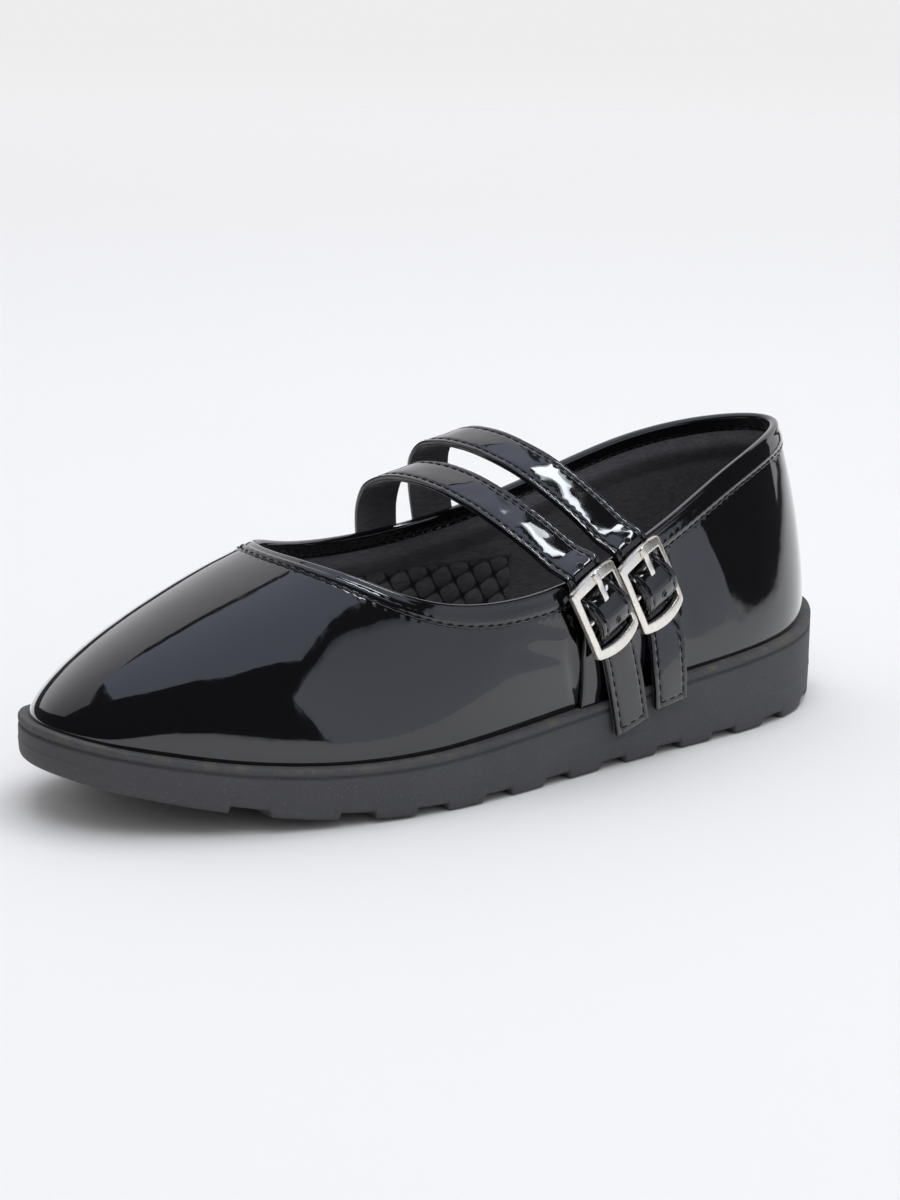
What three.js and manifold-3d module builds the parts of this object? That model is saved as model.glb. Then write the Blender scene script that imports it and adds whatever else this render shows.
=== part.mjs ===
// Mary jane shoe, left foot, with two buckled instep straps and a moulded wedge sole.
// Millimetres, +Z up. The toe points to -X, the lateral (buckle) side faces -Y, the tread stands on Z = 0.

import * as THREE from "three";
import { mergeVertices } from "three/addons/utils/BufferGeometryUtils.js";
import Module from "manifold-3d";

const wasm = await Module();
wasm.setup();

// ---------------------------------------------------------------- driving dimensions

const GAP = 0.3;                     // air left between pieces that touch
const SOLE_LENGTH = 262;
const TOE_THICKNESS = 11.5;          // sole thickness at the toe tip
const BALL_THICKNESS = 17.2;         // at BALL_STATION
const HEEL_THICKNESS = 27;           // at the heel
const BALL_STATION = 110;            // distance from the toe tip
const TOE_SPRING = 15.7;             // lift of the tread at the toe tip
const SPRING_START = 100;            // the tread is flat from here back to the heel
const LUG_DEPTH = 2;
const RECESS_WIDTH = 10;             // hollow between two lugs, along the sole
const LUG_ENDS = [36, 64, 86, 108, 130, 152, 174, 196, 218, 240];
const LUG_DRAFT = 0.5;               // slope of a lug's end face
const FEATHER_INSET = 3;             // ledge of sole that shows round the upper
const WALL = 1.8;                    // upper with its lining
const INSOLE_THICKNESS = 3;
const INSOLE_INSET = 7.2;            // from the edge of the sole

const STRAP_WIDTH = 13;
const STRAP_THICKNESS = 1.3;
const STRAP_CANT = THREE.MathUtils.degToRad(14);
const STRAP_STEP = 2.9;              // between the stations of a strap
const TURN_TO_BUCKLE = { from: 11, to: 24 }; // distances from a buckle at which a strap takes up its axes
const TAB_WIDTH = 12;
const TAB_THICKNESS = 0.9;           // underlay strap that holds the buckle
const TAB_RETURN = 3.6;              // how far it comes back under the strap, past the bar
const TAB_NOTCH = { from: -3, to: 4, near: -1, far: 9 }; // room for the prong where the tab rounds the bar
const PRONG_WIDTH = 1.5;
const PRONG_THICKNESS = 0.8;
const PRONG_OVERHANG = 1.6;          // past the middle of the end bar it rests on
const PRONG_SLOT = { from: 0.4, to: 5.4, near: 2, far: 9, width: 2.2 };
const BAND_STEP = 0.9;               // between the stations of a tab or a prong
const SLACK = 0.05;                  // added round the centre bar, where facets eat into the gap

const BUCKLE_WIDTH = 18.6;           // outside, across the strap
const BUCKLE_HEIGHT = 21.6;          // outside, along the strap, from corner to corner
const BUCKLE_BOW = 1.7;              // how far the middles of its end bars lie beyond the corners
const END_BAR_WIDTH = 2.6;
const SIDE_BAR_WIDTH = 2;
const BAR_THICKNESS = 1.6;
const BUCKLE_SQUARENESS = 7;         // exponent of the frame's rounded rectangle
const BUCKLE_CROWN = 1.4;            // how far the frame arches out of the wall
const BUCKLE_SAG = 0.3;              // how far the ends lean to the shoe
const BUCKLE_STANDOFF = 4.1;         // centre bar to the upper
const PIN_RADIUS = 0.8;              // centre bar

// Sections across the shoe, toe first. station: distance along the sole; lateral, medial: the sole's edge.
// collar...: the point of the top line, or of the throat, that the upper's wall rises to from there.
// bulge, rise: how far the wall swells outward and how high it stays upright above the sole.
// reach, drop: how far outward and downward the wall still follows its direction at the collar.
const SECTIONS = [
  { station: 0, lateral: 8.5, medial: 8.5, collar: 73, collarLateral: 4.5, collarMedial: 4.5,
    heightLateral: 64.8, heightMedial: 64.8, bulge: 1.4, rise: 6.5, reach: 48, drop: 16.5 },
  { station: 7, lateral: -10.2, medial: 27.8, collar: 74.5, collarLateral: -6, collarMedial: 14.5,
    heightLateral: 64.6, heightMedial: 64.4, bulge: 1.4, rise: 6.5, reach: 44, drop: 17 },
  { station: 20, lateral: -21.3, medial: 38.2, collar: 78.5, collarLateral: -15.5, collarMedial: 22.5,
    heightLateral: 63.3, heightMedial: 62.9, bulge: 1.4, rise: 6.5, reach: 36, drop: 18 },
  { station: 40, lateral: -32.8, medial: 44.6, collar: 85.5, collarLateral: -24.5, collarMedial: 28.5,
    heightLateral: 60.4, heightMedial: 61, bulge: 1.4, rise: 6, reach: 23, drop: 19 },
  { station: 66, lateral: -42.2, medial: 48.5, collar: 95.5, collarLateral: -33, collarMedial: 33.2,
    heightLateral: 56.2, heightMedial: 58.2, bulge: 1.8, rise: 6.5, reach: 10, drop: 19 },
  { station: 96, lateral: -47.2, medial: 46.3, collar: 111, collarLateral: -38.5, collarMedial: 35.8,
    heightLateral: 53.4, heightMedial: 56.2, bulge: 2, rise: 7, reach: 5, drop: 17 },
  { station: 128, lateral: -46.1, medial: 39.3, collar: 134, collarLateral: -39.6, collarMedial: 34.5,
    heightLateral: 54, heightMedial: 57.2, bulge: 1.8, rise: 7, reach: 3.2, drop: 17 },
  { station: 160, lateral: -42.9, medial: 34, collar: 160, collarLateral: -36.8, collarMedial: 29.8,
    heightLateral: 58.8, heightMedial: 62.4, bulge: 1.4, rise: 7, reach: 2.6, drop: 19 },
  { station: 190, lateral: -41, medial: 31.5, collar: 186, collarLateral: -31.8, collarMedial: 25.5,
    heightLateral: 66.8, heightMedial: 70.2, bulge: 1, rise: 8, reach: 3.4, drop: 21 },
  { station: 216, lateral: -39, medial: 31, collar: 209, collarLateral: -26, collarMedial: 21.5,
    heightLateral: 75, heightMedial: 77.2, bulge: 1, rise: 8.5, reach: 5, drop: 20 },
  { station: 238, lateral: -32.5, medial: 26, collar: 229, collarLateral: -20, collarMedial: 15.5,
    heightLateral: 80.8, heightMedial: 81.4, bulge: 1.2, rise: 9, reach: 6, drop: 20 },
  { station: 254, lateral: -19.5, medial: 13.5, collar: 243, collarLateral: -12, collarMedial: 6.5,
    heightLateral: 83.4, heightMedial: 83.5, bulge: 1.4, rise: 9, reach: 6.5, drop: 20 },
  { station: 262, lateral: -3.5, medial: -3.5, collar: 248, collarLateral: -3, collarMedial: -3,
    heightLateral: 84, heightMedial: 84, bulge: 1.4, rise: 9, reach: 7, drop: 20 },
];
const HEEL = SECTIONS.length - 1;    // walking round the shoe, section 0 is the toe and this one the heel
const ROUND = 2 * HEEL;              // a whole turn: lateral side out, medial side back

// Each strap from the medial side of the sole, over the instep and through its buckle to its tail.
// crossing, skew: the strap lies at crossing - skew * y while it crosses the foot.
// medialWall: distance from the toe and height on the medial wall; arch: y and height over the foot;
// buckle: distance from the toe and height of the buckle's lower end, middle and upper end;
// tail: the same for the free end's last two points; tabFoot: where the buckle's tab leaves the sole.
const STRAPS = [
  {
    name: "front", crossing: 138.9, skew: 0.18,
    medialWall: [[134, 22.5], [133, 32], [132.4, 41], [132.1, 50]],
    arch: [[38.3, 57], [38.1, 64], [35.9, 69.6], [31.8, 73.2], [26, 75.4], [17, 76.1],
      [7, 75.1], [-4, 72.4], [-15, 68.4], [-25, 64.2], [-33, 61.1]],
    buckle: [[156, 37.2], [151.6, 46.4], [147.3, 55.6]],
    tail: [[160.6, 20], [162.6, 11.2]],
    tabFoot: [151, 21.3],
  },
  {
    name: "rear", crossing: 157.5, skew: 0.2,
    medialWall: [[151.5, 23.8], [150.8, 34], [150.3, 44], [150.2, 53]],
    arch: [[35.8, 60.5], [37.2, 69], [36.9, 76], [33.4, 81], [27, 83.4], [18, 83.8],
      [8, 82.3], [-3, 79.3], [-14, 74.6], [-24, 69.4], [-31, 65.2]],
    buckle: [[174.8, 41], [170.6, 50.1], [166.4, 59.2]],
    tail: [[176.9, 24], [177.7, 15.2]],
    tabFoot: [169.5, 22.6],
  },
];

// The sole's side wall, tread first: inset from the edge, and height above the tread or below the top.
const SOLE_RINGS = [
  { inset: 1.3, above: 0 },
  { inset: 0.4, above: 0.9 },
  { inset: 0, above: 2.6 },
  { inset: 0, below: 3.2 },
  { inset: 0.7, below: 2.6 },
  { inset: 0.7, below: 2.1 },
  { inset: 0, below: 1.5 },
  { inset: 0.2, below: 0.3 },
  { inset: 0.8, below: 0 },
];

// ---------------------------------------------------------------- curves and shells

// A smooth closed curve through values one step apart, with continuous slope and curvature.
function closedSpline(values) {
  const count = values.length;
  const bend = new Array(count).fill(0);
  const at = (i) => ((i % count) + count) % count;
  for (let pass = 0; pass < 60; pass++) {
    for (let i = 0; i < count; i++) {
      const kink = 6 * (values[at(i - 1)] - 2 * values[i] + values[at(i + 1)]);
      bend[i] = (kink - bend[at(i - 1)] - bend[at(i + 1)]) / 4;
    }
  }
  return (t) => {
    const low = Math.floor(t);
    const f = t - low;
    const g = 1 - f;
    const a = at(low);
    const b = at(low + 1);
    return g * values[a] + f * values[b] + ((g ** 3 - g) * bend[a] + (f ** 3 - f) * bend[b]) / 6;
  };
}

// One column of the section table, or a lateral and a medial one, as a smooth curve round the shoe.
function roundShoe(lateralColumn, medialColumn = lateralColumn) {
  const out = SECTIONS.map((row) => row[lateralColumn]);
  const back = SECTIONS.slice(1, HEEL).reverse().map((row) => row[medialColumn]);
  return closedSpline([...out, ...back]);
}

const soleX = roundShoe("station");
const soleY = roundShoe("lateral", "medial");
const collarX = roundShoe("collar");
const collarY = roundShoe("collarLateral", "collarMedial");
const collarZ = roundShoe("heightLateral", "heightMedial");
const bulge = roundShoe("bulge");
const rise = roundShoe("rise");
const reach = roundShoe("reach");
const drop = roundShoe("drop");

// The outward direction, seen from above, of the closed curve (curveX, curveY) at t.
function outward(curveX, curveY, t) {
  const step = 0.01;
  const dx = curveX(t + step) - curveX(t - step);
  const dy = curveY(t + step) - curveY(t - step);
  return new THREE.Vector3(dy, -dx, 0).normalize();
}

// The sole's edge at t, moved inward by inset.
function soleEdge(t, inset) {
  return new THREE.Vector3(soleX(t), soleY(t), 0).addScaledVector(outward(soleX, soleY, t), -inset);
}

function treadHeight(x) {
  return TOE_SPRING * (Math.max(0, SPRING_START - x) / SPRING_START) ** 2;
}

function soleThickness(x) {
  const f = x / SOLE_LENGTH;
  const ball = BALL_STATION / SOLE_LENGTH;
  const straight = TOE_THICKNESS + (HEEL_THICKNESS - TOE_THICKNESS) * f;
  const dip = BALL_THICKNESS - (TOE_THICKNESS + (HEEL_THICKNESS - TOE_THICKNESS) * ball);
  return straight + dip * (f * (1 - f)) / (ball * (1 - ball));
}

function soleTop(x) {
  return treadHeight(x) + soleThickness(x);
}

// A mesh from rows of points: each row is a closed ring, and the rings are joined in order.
// firstCap and lastCap close the ends with strips across the ring, point i to point count - i.
function ringSolid(rings, firstCap, lastCap) {
  const count = rings[0].length;
  const positions = rings.flat().flatMap((p) => [p.x, p.y, p.z]);
  const faces = [];
  const quad = (a, b, c, d) => faces.push(a, b, c, a, c, d);
  const joined = firstCap || lastCap ? rings.length - 1 : rings.length;
  for (let r = 0; r < joined; r++) {
    const low = r * count;
    const high = ((r + 1) % rings.length) * count;
    for (let i = 0; i < count; i++) {
      const next = (i + 1) % count;
      quad(low + i, low + next, high + next, high + i);
    }
  }
  const cap = (start, up) => {
    for (let i = 0; i < count / 2; i++) {
      const corners = [i, i + 1, count - i - 1, (count - i) % count].map((k) => start + k);
      const [a, b, c, d] = up ? corners : corners.reverse();
      if (i === 0) {
        faces.push(...(up ? [a, b, c] : [b, c, d]));
      } else if (i === count / 2 - 1) {
        faces.push(...(up ? [a, b, d] : [a, c, d]));
      } else {
        quad(a, b, c, d);
      }
    }
  };
  if (firstCap) {
    cap(0, false);
  }
  if (lastCap) {
    cap((rings.length - 1) * count, true);
  }
  const geometry = new THREE.BufferGeometry();
  geometry.setAttribute("position", new THREE.Float32BufferAttribute(positions, 3));
  geometry.setIndex(faces);
  geometry.computeVertexNormals();
  return geometry;
}

// ---------------------------------------------------------------- sole, insole and upper

// The turn value t, on the lateral side, at which the sole's edge passes a distance x from the toe.
function turnAt(x) {
  let low = 0;
  let high = HEEL;
  for (let pass = 0; pass < 40; pass++) {
    const middle = (low + high) / 2;
    if (soleX(middle) < x) {
      low = middle;
    } else {
      high = middle;
    }
  }
  return (low + high) / 2;
}

function inRecess(x) {
  return LUG_ENDS.some((end) => x > end + LUG_DRAFT / 2 && x < end + RECESS_WIDTH + LUG_DRAFT / 2);
}

// Turn values from toe to heel along one side, closer together at the round ends and at the lugs' edges.
function soleTurns() {
  const turns = [];
  for (let i = 0; i <= 4 * HEEL; i++) {
    turns.push(i / 4);
  }
  const edges = LUG_ENDS.flatMap((end) => [end, end + RECESS_WIDTH]);
  const kept = turns.filter((t) => edges.every((edge) => Math.abs(soleX(t) - edge - LUG_DRAFT / 2) > 1.6));
  const steps = edges.flatMap((edge) => [turnAt(edge), turnAt(edge + LUG_DRAFT)]);
  return [...kept, ...steps].sort((a, b) => a - b);
}

function outsoleGeometry() {
  const side = soleTurns();
  const turns = [...side, ...side.slice(1, -1).reverse().map((t) => ROUND - t)];
  const rings = SOLE_RINGS.map((ring) => turns.map((t) => {
    const point = soleEdge(t, ring.inset);
    const lift = inRecess(soleX(t)) ? LUG_DEPTH : 0;
    const low = treadHeight(point.x);
    point.z = "above" in ring ? low + lift + ring.above : soleTop(point.x) - ring.below;
    return point;
  }));
  return ringSolid(rings, true, true);
}

function insoleGeometry() {
  const turns = [];
  for (let i = 0; i < 3 * ROUND; i++) {
    turns.push(i / 3);
  }
  const ring = (inset, height) => turns.map((t) => {
    const point = soleEdge(t, inset);
    point.z = soleTop(point.x) + GAP + height;
    return point;
  });
  const levels = [
    ring(INSOLE_INSET + 0.6, 0),
    ring(INSOLE_INSET, 0.6),
    ring(INSOLE_INSET, INSOLE_THICKNESS - 0.8),
    ring(INSOLE_INSET + 0.8, INSOLE_THICKNESS),
  ];
  return ringSolid(levels, true, true);
}

// The upper's outer face: t round the shoe, v from the sole (0) to the collar (1).
function upperPoint(t, v) {
  const foot = soleEdge(t, FEATHER_INSET);
  foot.z = soleTop(foot.x) + GAP;
  const collar = new THREE.Vector3(collarX(t), collarY(t), collarZ(t));
  const swell = foot.clone().addScaledVector(outward(soleX, soleY, t), bulge(t));
  swell.z += rise(t);
  const brow = collar.clone().addScaledVector(outward(collarX, collarY, t), reach(t));
  brow.z -= drop(t);
  return new THREE.CubicBezierCurve3(foot, swell, brow, collar).getPoint(v);
}

function upperNormal(t, v) {
  const step = 0.01;
  const along = upperPoint(t + step, v).sub(upperPoint(t - step, v));
  const up = upperPoint(t, Math.min(1, v + step)).sub(upperPoint(t, Math.max(0, v - step)));
  return along.cross(up).normalize();
}

// The lining face, WALL inside the outer one; its foot stays level on the sole.
function liningPoint(t, v) {
  const point = upperPoint(t, v).addScaledVector(upperNormal(t, v), -WALL);
  if (v === 0) {
    point.z = soleTop(point.x) + GAP;
  }
  return point;
}

function upperGeometry() {
  const columns = 4 * ROUND;
  const rows = 11;
  const rings = [];
  const ring = (place, v) => Array.from({ length: columns }, (_, i) => place(i / 4, v));
  for (let r = 0; r <= rows; r++) {
    rings.push(ring(upperPoint, r / rows));
  }
  for (let r = rows; r >= 0; r--) {
    rings.push(ring(liningPoint, r / rows));
  }
  return ringSolid(rings, false, false);
}

// ---------------------------------------------------------------- straps and tabs

// The point of the upper's outer face on one side at a distance x from the toe and a height z.
function wallAt(side, x, z) {
  const heightAt = (t) => {
    let low = 0;
    let high = 1;
    for (let pass = 0; pass < 30; pass++) {
      const v = (low + high) / 2;
      if (upperPoint(t, v).z < z) {
        low = v;
      } else {
        high = v;
      }
    }
    return (low + high) / 2;
  };
  let near = side === "lateral" ? 1 : ROUND - 1;
  let far = HEEL;
  for (let pass = 0; pass < 30; pass++) {
    const t = (near + far) / 2;
    if (upperPoint(t, heightAt(t)).x < x) {
      near = t;
    } else {
      far = t;
    }
  }
  const t = (near + far) / 2;
  const v = heightAt(t);
  return { point: upperPoint(t, v), normal: upperNormal(t, v) };
}

function offWall(side, x, z, distance) {
  const { point, normal } = wallAt(side, x, z);
  return point.addScaledVector(normal, distance);
}

// The axes of a buckle: origin on the wall under its centre bar, up along the strap, out of the wall, across.
function buckleFrame(strap) {
  const [lower, centre, upper] = strap.buckle.map(([x, z]) => wallAt("lateral", x, z));
  const up = upper.point.clone().sub(lower.point).normalize();
  const across = up.clone().cross(centre.normal).normalize();
  const out = across.clone().cross(up);
  const place = (along, distance, aside = 0) => centre.point.clone()
    .addScaledVector(up, along)
    .addScaledVector(out, distance)
    .addScaledVector(across, aside);
  return { up, across, out, place };
}

// A band of even thickness along a path. widthHint(centre, f) is the way its width should point at a
// fraction f of its length, and is turned square to the path.
function band(points, widthHint, width, thickness, step) {
  const path = new THREE.CatmullRomCurve3(points, false, "centripetal");
  const stations = Math.ceil(path.getLength() / step);
  const rings = [];
  for (let i = 0; i <= stations; i++) {
    const centre = path.getPointAt(i / stations);
    const along = path.getTangentAt(i / stations);
    const hint = widthHint(centre, i / stations);
    const across = hint.addScaledVector(along, -hint.dot(along)).normalize();
    const out = along.clone().cross(across);
    const corners = [[-1, -1], [1, -1], [1, 1], [-1, 1]];
    rings.push(corners.map(([a, b]) => centre.clone()
      .addScaledVector(across, a * width / 2)
      .addScaledVector(out, b * thickness / 2)));
  }
  return ringSolid(rings, true, true);
}

function solidOf(geometry) {
  const bare = geometry.clone();
  bare.deleteAttribute("normal");
  bare.deleteAttribute("uv");
  const merged = mergeVertices(bare);
  return new wasm.Manifold(new wasm.Mesh({
    numProp: 3,
    vertProperties: new Float32Array(merged.attributes.position.array),
    triVerts: new Uint32Array(merged.index.array),
  }));
}

function geometryOf(solid) {
  const { vertProperties, triVerts } = solid.getMesh();
  const geometry = new THREE.BufferGeometry();
  geometry.setAttribute("position", new THREE.Float32BufferAttribute(vertProperties, 3));
  geometry.setIndex(Array.from(triVerts));
  geometry.computeVertexNormals();
  return geometry;
}

// A block in a buckle's axes, for cutting: from and to along the strap, near and far out of the wall.
function blockIn(frame, { from, to, near, far }, width) {
  const block = new THREE.BoxGeometry(width, to - from, far - near);
  const basis = new THREE.Matrix4().makeBasis(frame.across, frame.up, frame.across.clone().cross(frame.up));
  block.applyMatrix4(basis.setPosition(frame.place((from + to) / 2, (near + far) / 2)));
  return block;
}

const END_BAR_CENTRE = (BUCKLE_HEIGHT - END_BAR_WIDTH) / 2;
const STRAP_REST = GAP + STRAP_THICKNESS / 2 + 0.35; // strap's middle to the wall; 0.35 clears its curve
const STRAP_OVER_TAB = TAB_THICKNESS + 3 * GAP + STRAP_THICKNESS / 2;
const STRAP_HUMP = BUCKLE_STANDOFF + PIN_RADIUS + TAB_THICKNESS + STRAP_THICKNESS / 2 + 3 * GAP;

// The strap's way through its buckle, from above: place along it, and height of its middle off the wall.
const THROUGH_BUCKLE = [
  [0.6 * BUCKLE_HEIGHT, STRAP_REST + 0.5],
  [END_BAR_CENTRE, STRAP_REST],
  [0.33 * BUCKLE_HEIGHT, STRAP_REST + 0.4],
  [0.18 * BUCKLE_HEIGHT, 0.72 * STRAP_HUMP],
  [0, STRAP_HUMP],
  [-0.18 * BUCKLE_HEIGHT, 0.86 * STRAP_HUMP],
  [-0.33 * BUCKLE_HEIGHT, STRAP_OVER_TAB + 0.1],
  [-END_BAR_CENTRE, STRAP_OVER_TAB],
  [-END_BAR_CENTRE - 4, STRAP_OVER_TAB + 0.2],
];

// The way a strap's width points: along the walls at both sides, and rising to the heel over the instep.
function strapWidthHint(centre) {
  return new THREE.Vector3(1, -0.04 - 0.0036 * centre.y, Math.tan(STRAP_CANT));
}

function strapGeometry(strap) {
  const frame = buckleFrame(strap);
  const points = strap.medialWall.map(([x, z]) => offWall("medial", x, z, STRAP_REST + 0.15));
  strap.arch.forEach(([y, z]) => points.push(new THREE.Vector3(strap.crossing - strap.skew * y, y, z)));
  THROUGH_BUCKLE.forEach(([along, height]) => points.push(frame.place(along, height)));
  strap.tail.forEach(([x, z]) => {
    const edge = soleEdge(turnAt(x), 0);
    points.push(new THREE.Vector3(x, edge.y - STRAP_REST - 0.1, z));
  });
  const hint = (centre) => {
    const away = centre.distanceTo(frame.place(0, BUCKLE_STANDOFF));
    const turned = THREE.MathUtils.smoothstep(away, TURN_TO_BUCKLE.from, TURN_TO_BUCKLE.to);
    return frame.across.clone().lerp(strapWidthHint(centre), turned);
  };
  const bandSolid = solidOf(band(points, hint, STRAP_WIDTH, STRAP_THICKNESS, STRAP_STEP));
  const slot = blockIn(frame, PRONG_SLOT, PRONG_SLOT.width);
  return geometryOf(bandSolid.subtract(solidOf(slot)));
}

// Points on the way round the centre bar, from one angle to another; 0 points up the strap, 90 out.
function roundBar(frame, radius, fromAngle, toAngle, count) {
  return Array.from({ length: count }, (_, i) => {
    const angle = THREE.MathUtils.degToRad(fromAngle + (toAngle - fromAngle) * i / (count - 1));
    return frame.place(radius * Math.cos(angle), BUCKLE_STANDOFF + radius * Math.sin(angle));
  });
}

function tabGeometry(strap) {
  const frame = buckleFrame(strap);
  const rest = GAP + TAB_THICKNESS / 2;
  const eye = PIN_RADIUS + GAP + TAB_THICKNESS / 2 + SLACK;
  const [footX, footZ] = strap.tabFoot;
  const [centreX, centreZ] = strap.buckle[1];
  const points = [0, 0.3, 0.6].map((f) => {
    const x = footX + (centreX - footX) * f;
    return offWall("lateral", x, footZ + (centreZ - footZ) * f, rest + 0.1);
  });
  points.push(
    ...roundBar(frame, eye, -80, 90, 8),
    frame.place(-TAB_RETURN / 2, BUCKLE_STANDOFF + 0.9),
    frame.place(-TAB_RETURN, BUCKLE_STANDOFF - 0.8),
  );
  const alongWall = new THREE.Vector3(1, 0.09, 0.05);
  const hint = (_, f) => alongWall.clone().lerp(frame.across, THREE.MathUtils.smoothstep(f, 0.2, 0.6));
  const solid = solidOf(band(points, hint, TAB_WIDTH, TAB_THICKNESS, BAND_STEP));
  const notch = blockIn(frame, TAB_NOTCH, PRONG_WIDTH + 4 * GAP);
  return geometryOf(solid.subtract(solidOf(notch)));
}

// ---------------------------------------------------------------- buckles and prongs

// Distance out of the wall of the frame's middle, at a place across and along the strap.
function frameLift(aside, along) {
  const crown = BUCKLE_CROWN * (0.8 - (2 * aside / BUCKLE_WIDTH) ** 2);
  return BUCKLE_STANDOFF + crown - BUCKLE_SAG * (2 * along / BUCKLE_HEIGHT) ** 2;
}

function buckleGeometry(strap) {
  const frame = buckleFrame(strap);
  const steps = 40;
  const halfWidth = (BUCKLE_WIDTH - SIDE_BAR_WIDTH) / 2;
  const power = 2 / BUCKLE_SQUARENESS;
  const lobe = (value) => Math.sign(value) * Math.abs(value) ** power;
  const middleLine = (angle) => {
    const aside = lobe(Math.cos(angle));
    const bow = BUCKLE_BOW * (1 - aside ** 2) * Math.sign(Math.sin(angle));
    return new THREE.Vector2(halfWidth * aside, END_BAR_CENTRE * lobe(Math.sin(angle)) + bow);
  };
  // The bar's section: its back, and a face with bevelled edges.
  const section = [[1, -1], [-1, -1], [-1, 0.4], [-0.6, 1], [0.6, 1], [1, 0.4]];
  const rings = [];
  for (let i = 0; i < steps; i++) {
    const angle = 2 * Math.PI * (i + 0.5) / steps;
    const at = middleLine(angle);
    const ahead = middleLine(angle + 0.02).sub(middleLine(angle - 0.02)).normalize();
    const end = Math.abs(ahead.x);
    const barWidth = SIDE_BAR_WIDTH + (END_BAR_WIDTH - SIDE_BAR_WIDTH) * end;
    rings.push(section.map(([a, b]) => {
      const aside = at.x + ahead.y * a * barWidth / 2;
      const along = at.y - ahead.x * a * barWidth / 2;
      return frame.place(along, frameLift(aside, along) + b * BAR_THICKNESS / 2, aside);
    }));
  }
  const pin = new THREE.CylinderGeometry(PIN_RADIUS, PIN_RADIUS, 2 * halfWidth, 12);
  const basis = new THREE.Matrix4().makeBasis(frame.up, frame.across, frame.up.clone().cross(frame.across));
  pin.applyMatrix4(basis.setPosition(frame.place(0, BUCKLE_STANDOFF)));
  return geometryOf(solidOf(ringSolid(rings, false, false)).add(solidOf(pin)));
}

function prongGeometry(strap) {
  const frame = buckleFrame(strap);
  const eye = PIN_RADIUS + GAP + PRONG_THICKNESS / 2 + SLACK;
  const endBar = END_BAR_CENTRE + BUCKLE_BOW;
  const overBar = frameLift(0, endBar) + (BAR_THICKNESS + PRONG_THICKNESS) / 2 + GAP;
  const points = [
    ...roundBar(frame, eye, -170, 80, 9),
    frame.place(endBar / 2, (BUCKLE_STANDOFF + eye + overBar) / 2),
    frame.place(endBar, overBar),
    frame.place(endBar + PRONG_OVERHANG, overBar - 0.1),
  ];
  return band(points, () => frame.across.clone(), PRONG_WIDTH, PRONG_THICKNESS, BAND_STEP);
}

// ---------------------------------------------------------------- assembly

const patent = { color: 0x08090b, roughness: 0.08, metalness: 0 };
const rubber = { color: 0x1d1d1e, roughness: 0.8, metalness: 0 };
const napped = { color: 0x0e0e10, roughness: 0.95, metalness: 0 };
const nickel = { color: 0xd8d2c4, roughness: 0.18, metalness: 1 };

function piece(name, geometry, finish) {
  const mesh = new THREE.Mesh(geometry, new THREE.MeshStandardMaterial(finish));
  mesh.name = name;
  return mesh;
}

const shoe = new THREE.Group();
shoe.add(piece("outsole", outsoleGeometry(), rubber));
shoe.add(piece("insole", insoleGeometry(), napped));
shoe.add(piece("upper", upperGeometry(), patent));
for (const strap of STRAPS) {
  shoe.add(piece(`strap_${strap.name}`, strapGeometry(strap), patent));
  shoe.add(piece(`buckle_tab_${strap.name}`, tabGeometry(strap), patent));
  shoe.add(piece(`buckle_${strap.name}`, buckleGeometry(strap), nickel));
  shoe.add(piece(`prong_${strap.name}`, prongGeometry(strap), nickel));
}

// The origin is the middle of the whole shoe's footprint, on the floor.
const box = new THREE.Box3().setFromObject(shoe);
const middle = box.getCenter(new THREE.Vector3());
shoe.position.set(-middle.x, -middle.y, -box.min.z);

export default shoe;
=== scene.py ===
"""Mary jane shoe for the left foot: patent upper, two buckled straps and a moulded wedge sole.

Shapes are worked out in the shoe's own millimetres: X is the distance from the toe tip, the medial side
is +Y and the tread stands on Z = 0. seat() turns them into the frame's metres.
"""

import math
from collections import namedtuple
from functools import lru_cache, partial

import bmesh
import bpy
from bpy.props import FloatProperty, FloatVectorProperty, PointerProperty
from mathutils import Matrix, Vector, noise


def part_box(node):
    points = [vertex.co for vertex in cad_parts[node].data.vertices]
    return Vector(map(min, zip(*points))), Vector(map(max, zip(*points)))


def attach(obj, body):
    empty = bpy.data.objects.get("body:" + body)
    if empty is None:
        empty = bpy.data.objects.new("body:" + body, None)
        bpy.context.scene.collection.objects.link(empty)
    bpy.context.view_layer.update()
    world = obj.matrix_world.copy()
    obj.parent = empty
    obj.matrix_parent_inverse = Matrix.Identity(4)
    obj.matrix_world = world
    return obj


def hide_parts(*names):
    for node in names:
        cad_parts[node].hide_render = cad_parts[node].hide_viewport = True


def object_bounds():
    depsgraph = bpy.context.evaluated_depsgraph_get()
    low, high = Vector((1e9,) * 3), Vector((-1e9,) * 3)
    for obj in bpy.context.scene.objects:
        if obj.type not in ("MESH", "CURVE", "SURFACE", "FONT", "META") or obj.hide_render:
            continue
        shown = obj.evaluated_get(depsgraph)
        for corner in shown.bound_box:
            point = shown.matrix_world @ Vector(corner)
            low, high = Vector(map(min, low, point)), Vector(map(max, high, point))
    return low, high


bl_info = {
    "name": "Mary jane shoe",
    "version": (1, 0, 0),
    "blender": (4, 5, 0),
    "location": "3D View > Sidebar > Shoe",
    "description": "Builds a patent mary jane with two buckled straps around its CAD frame",
    "category": "Object",
}

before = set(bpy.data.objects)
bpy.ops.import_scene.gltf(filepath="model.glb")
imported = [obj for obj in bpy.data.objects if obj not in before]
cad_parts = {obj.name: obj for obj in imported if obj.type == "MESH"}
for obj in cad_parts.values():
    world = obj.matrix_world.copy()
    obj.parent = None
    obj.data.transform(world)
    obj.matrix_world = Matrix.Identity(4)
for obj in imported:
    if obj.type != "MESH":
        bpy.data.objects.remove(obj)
CAD_BOX = [list(corner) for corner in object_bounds()]
BODY = "root"
MM = 0.001

# ---------------------------------------------------------------- the last and the sole, in millimetres

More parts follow.
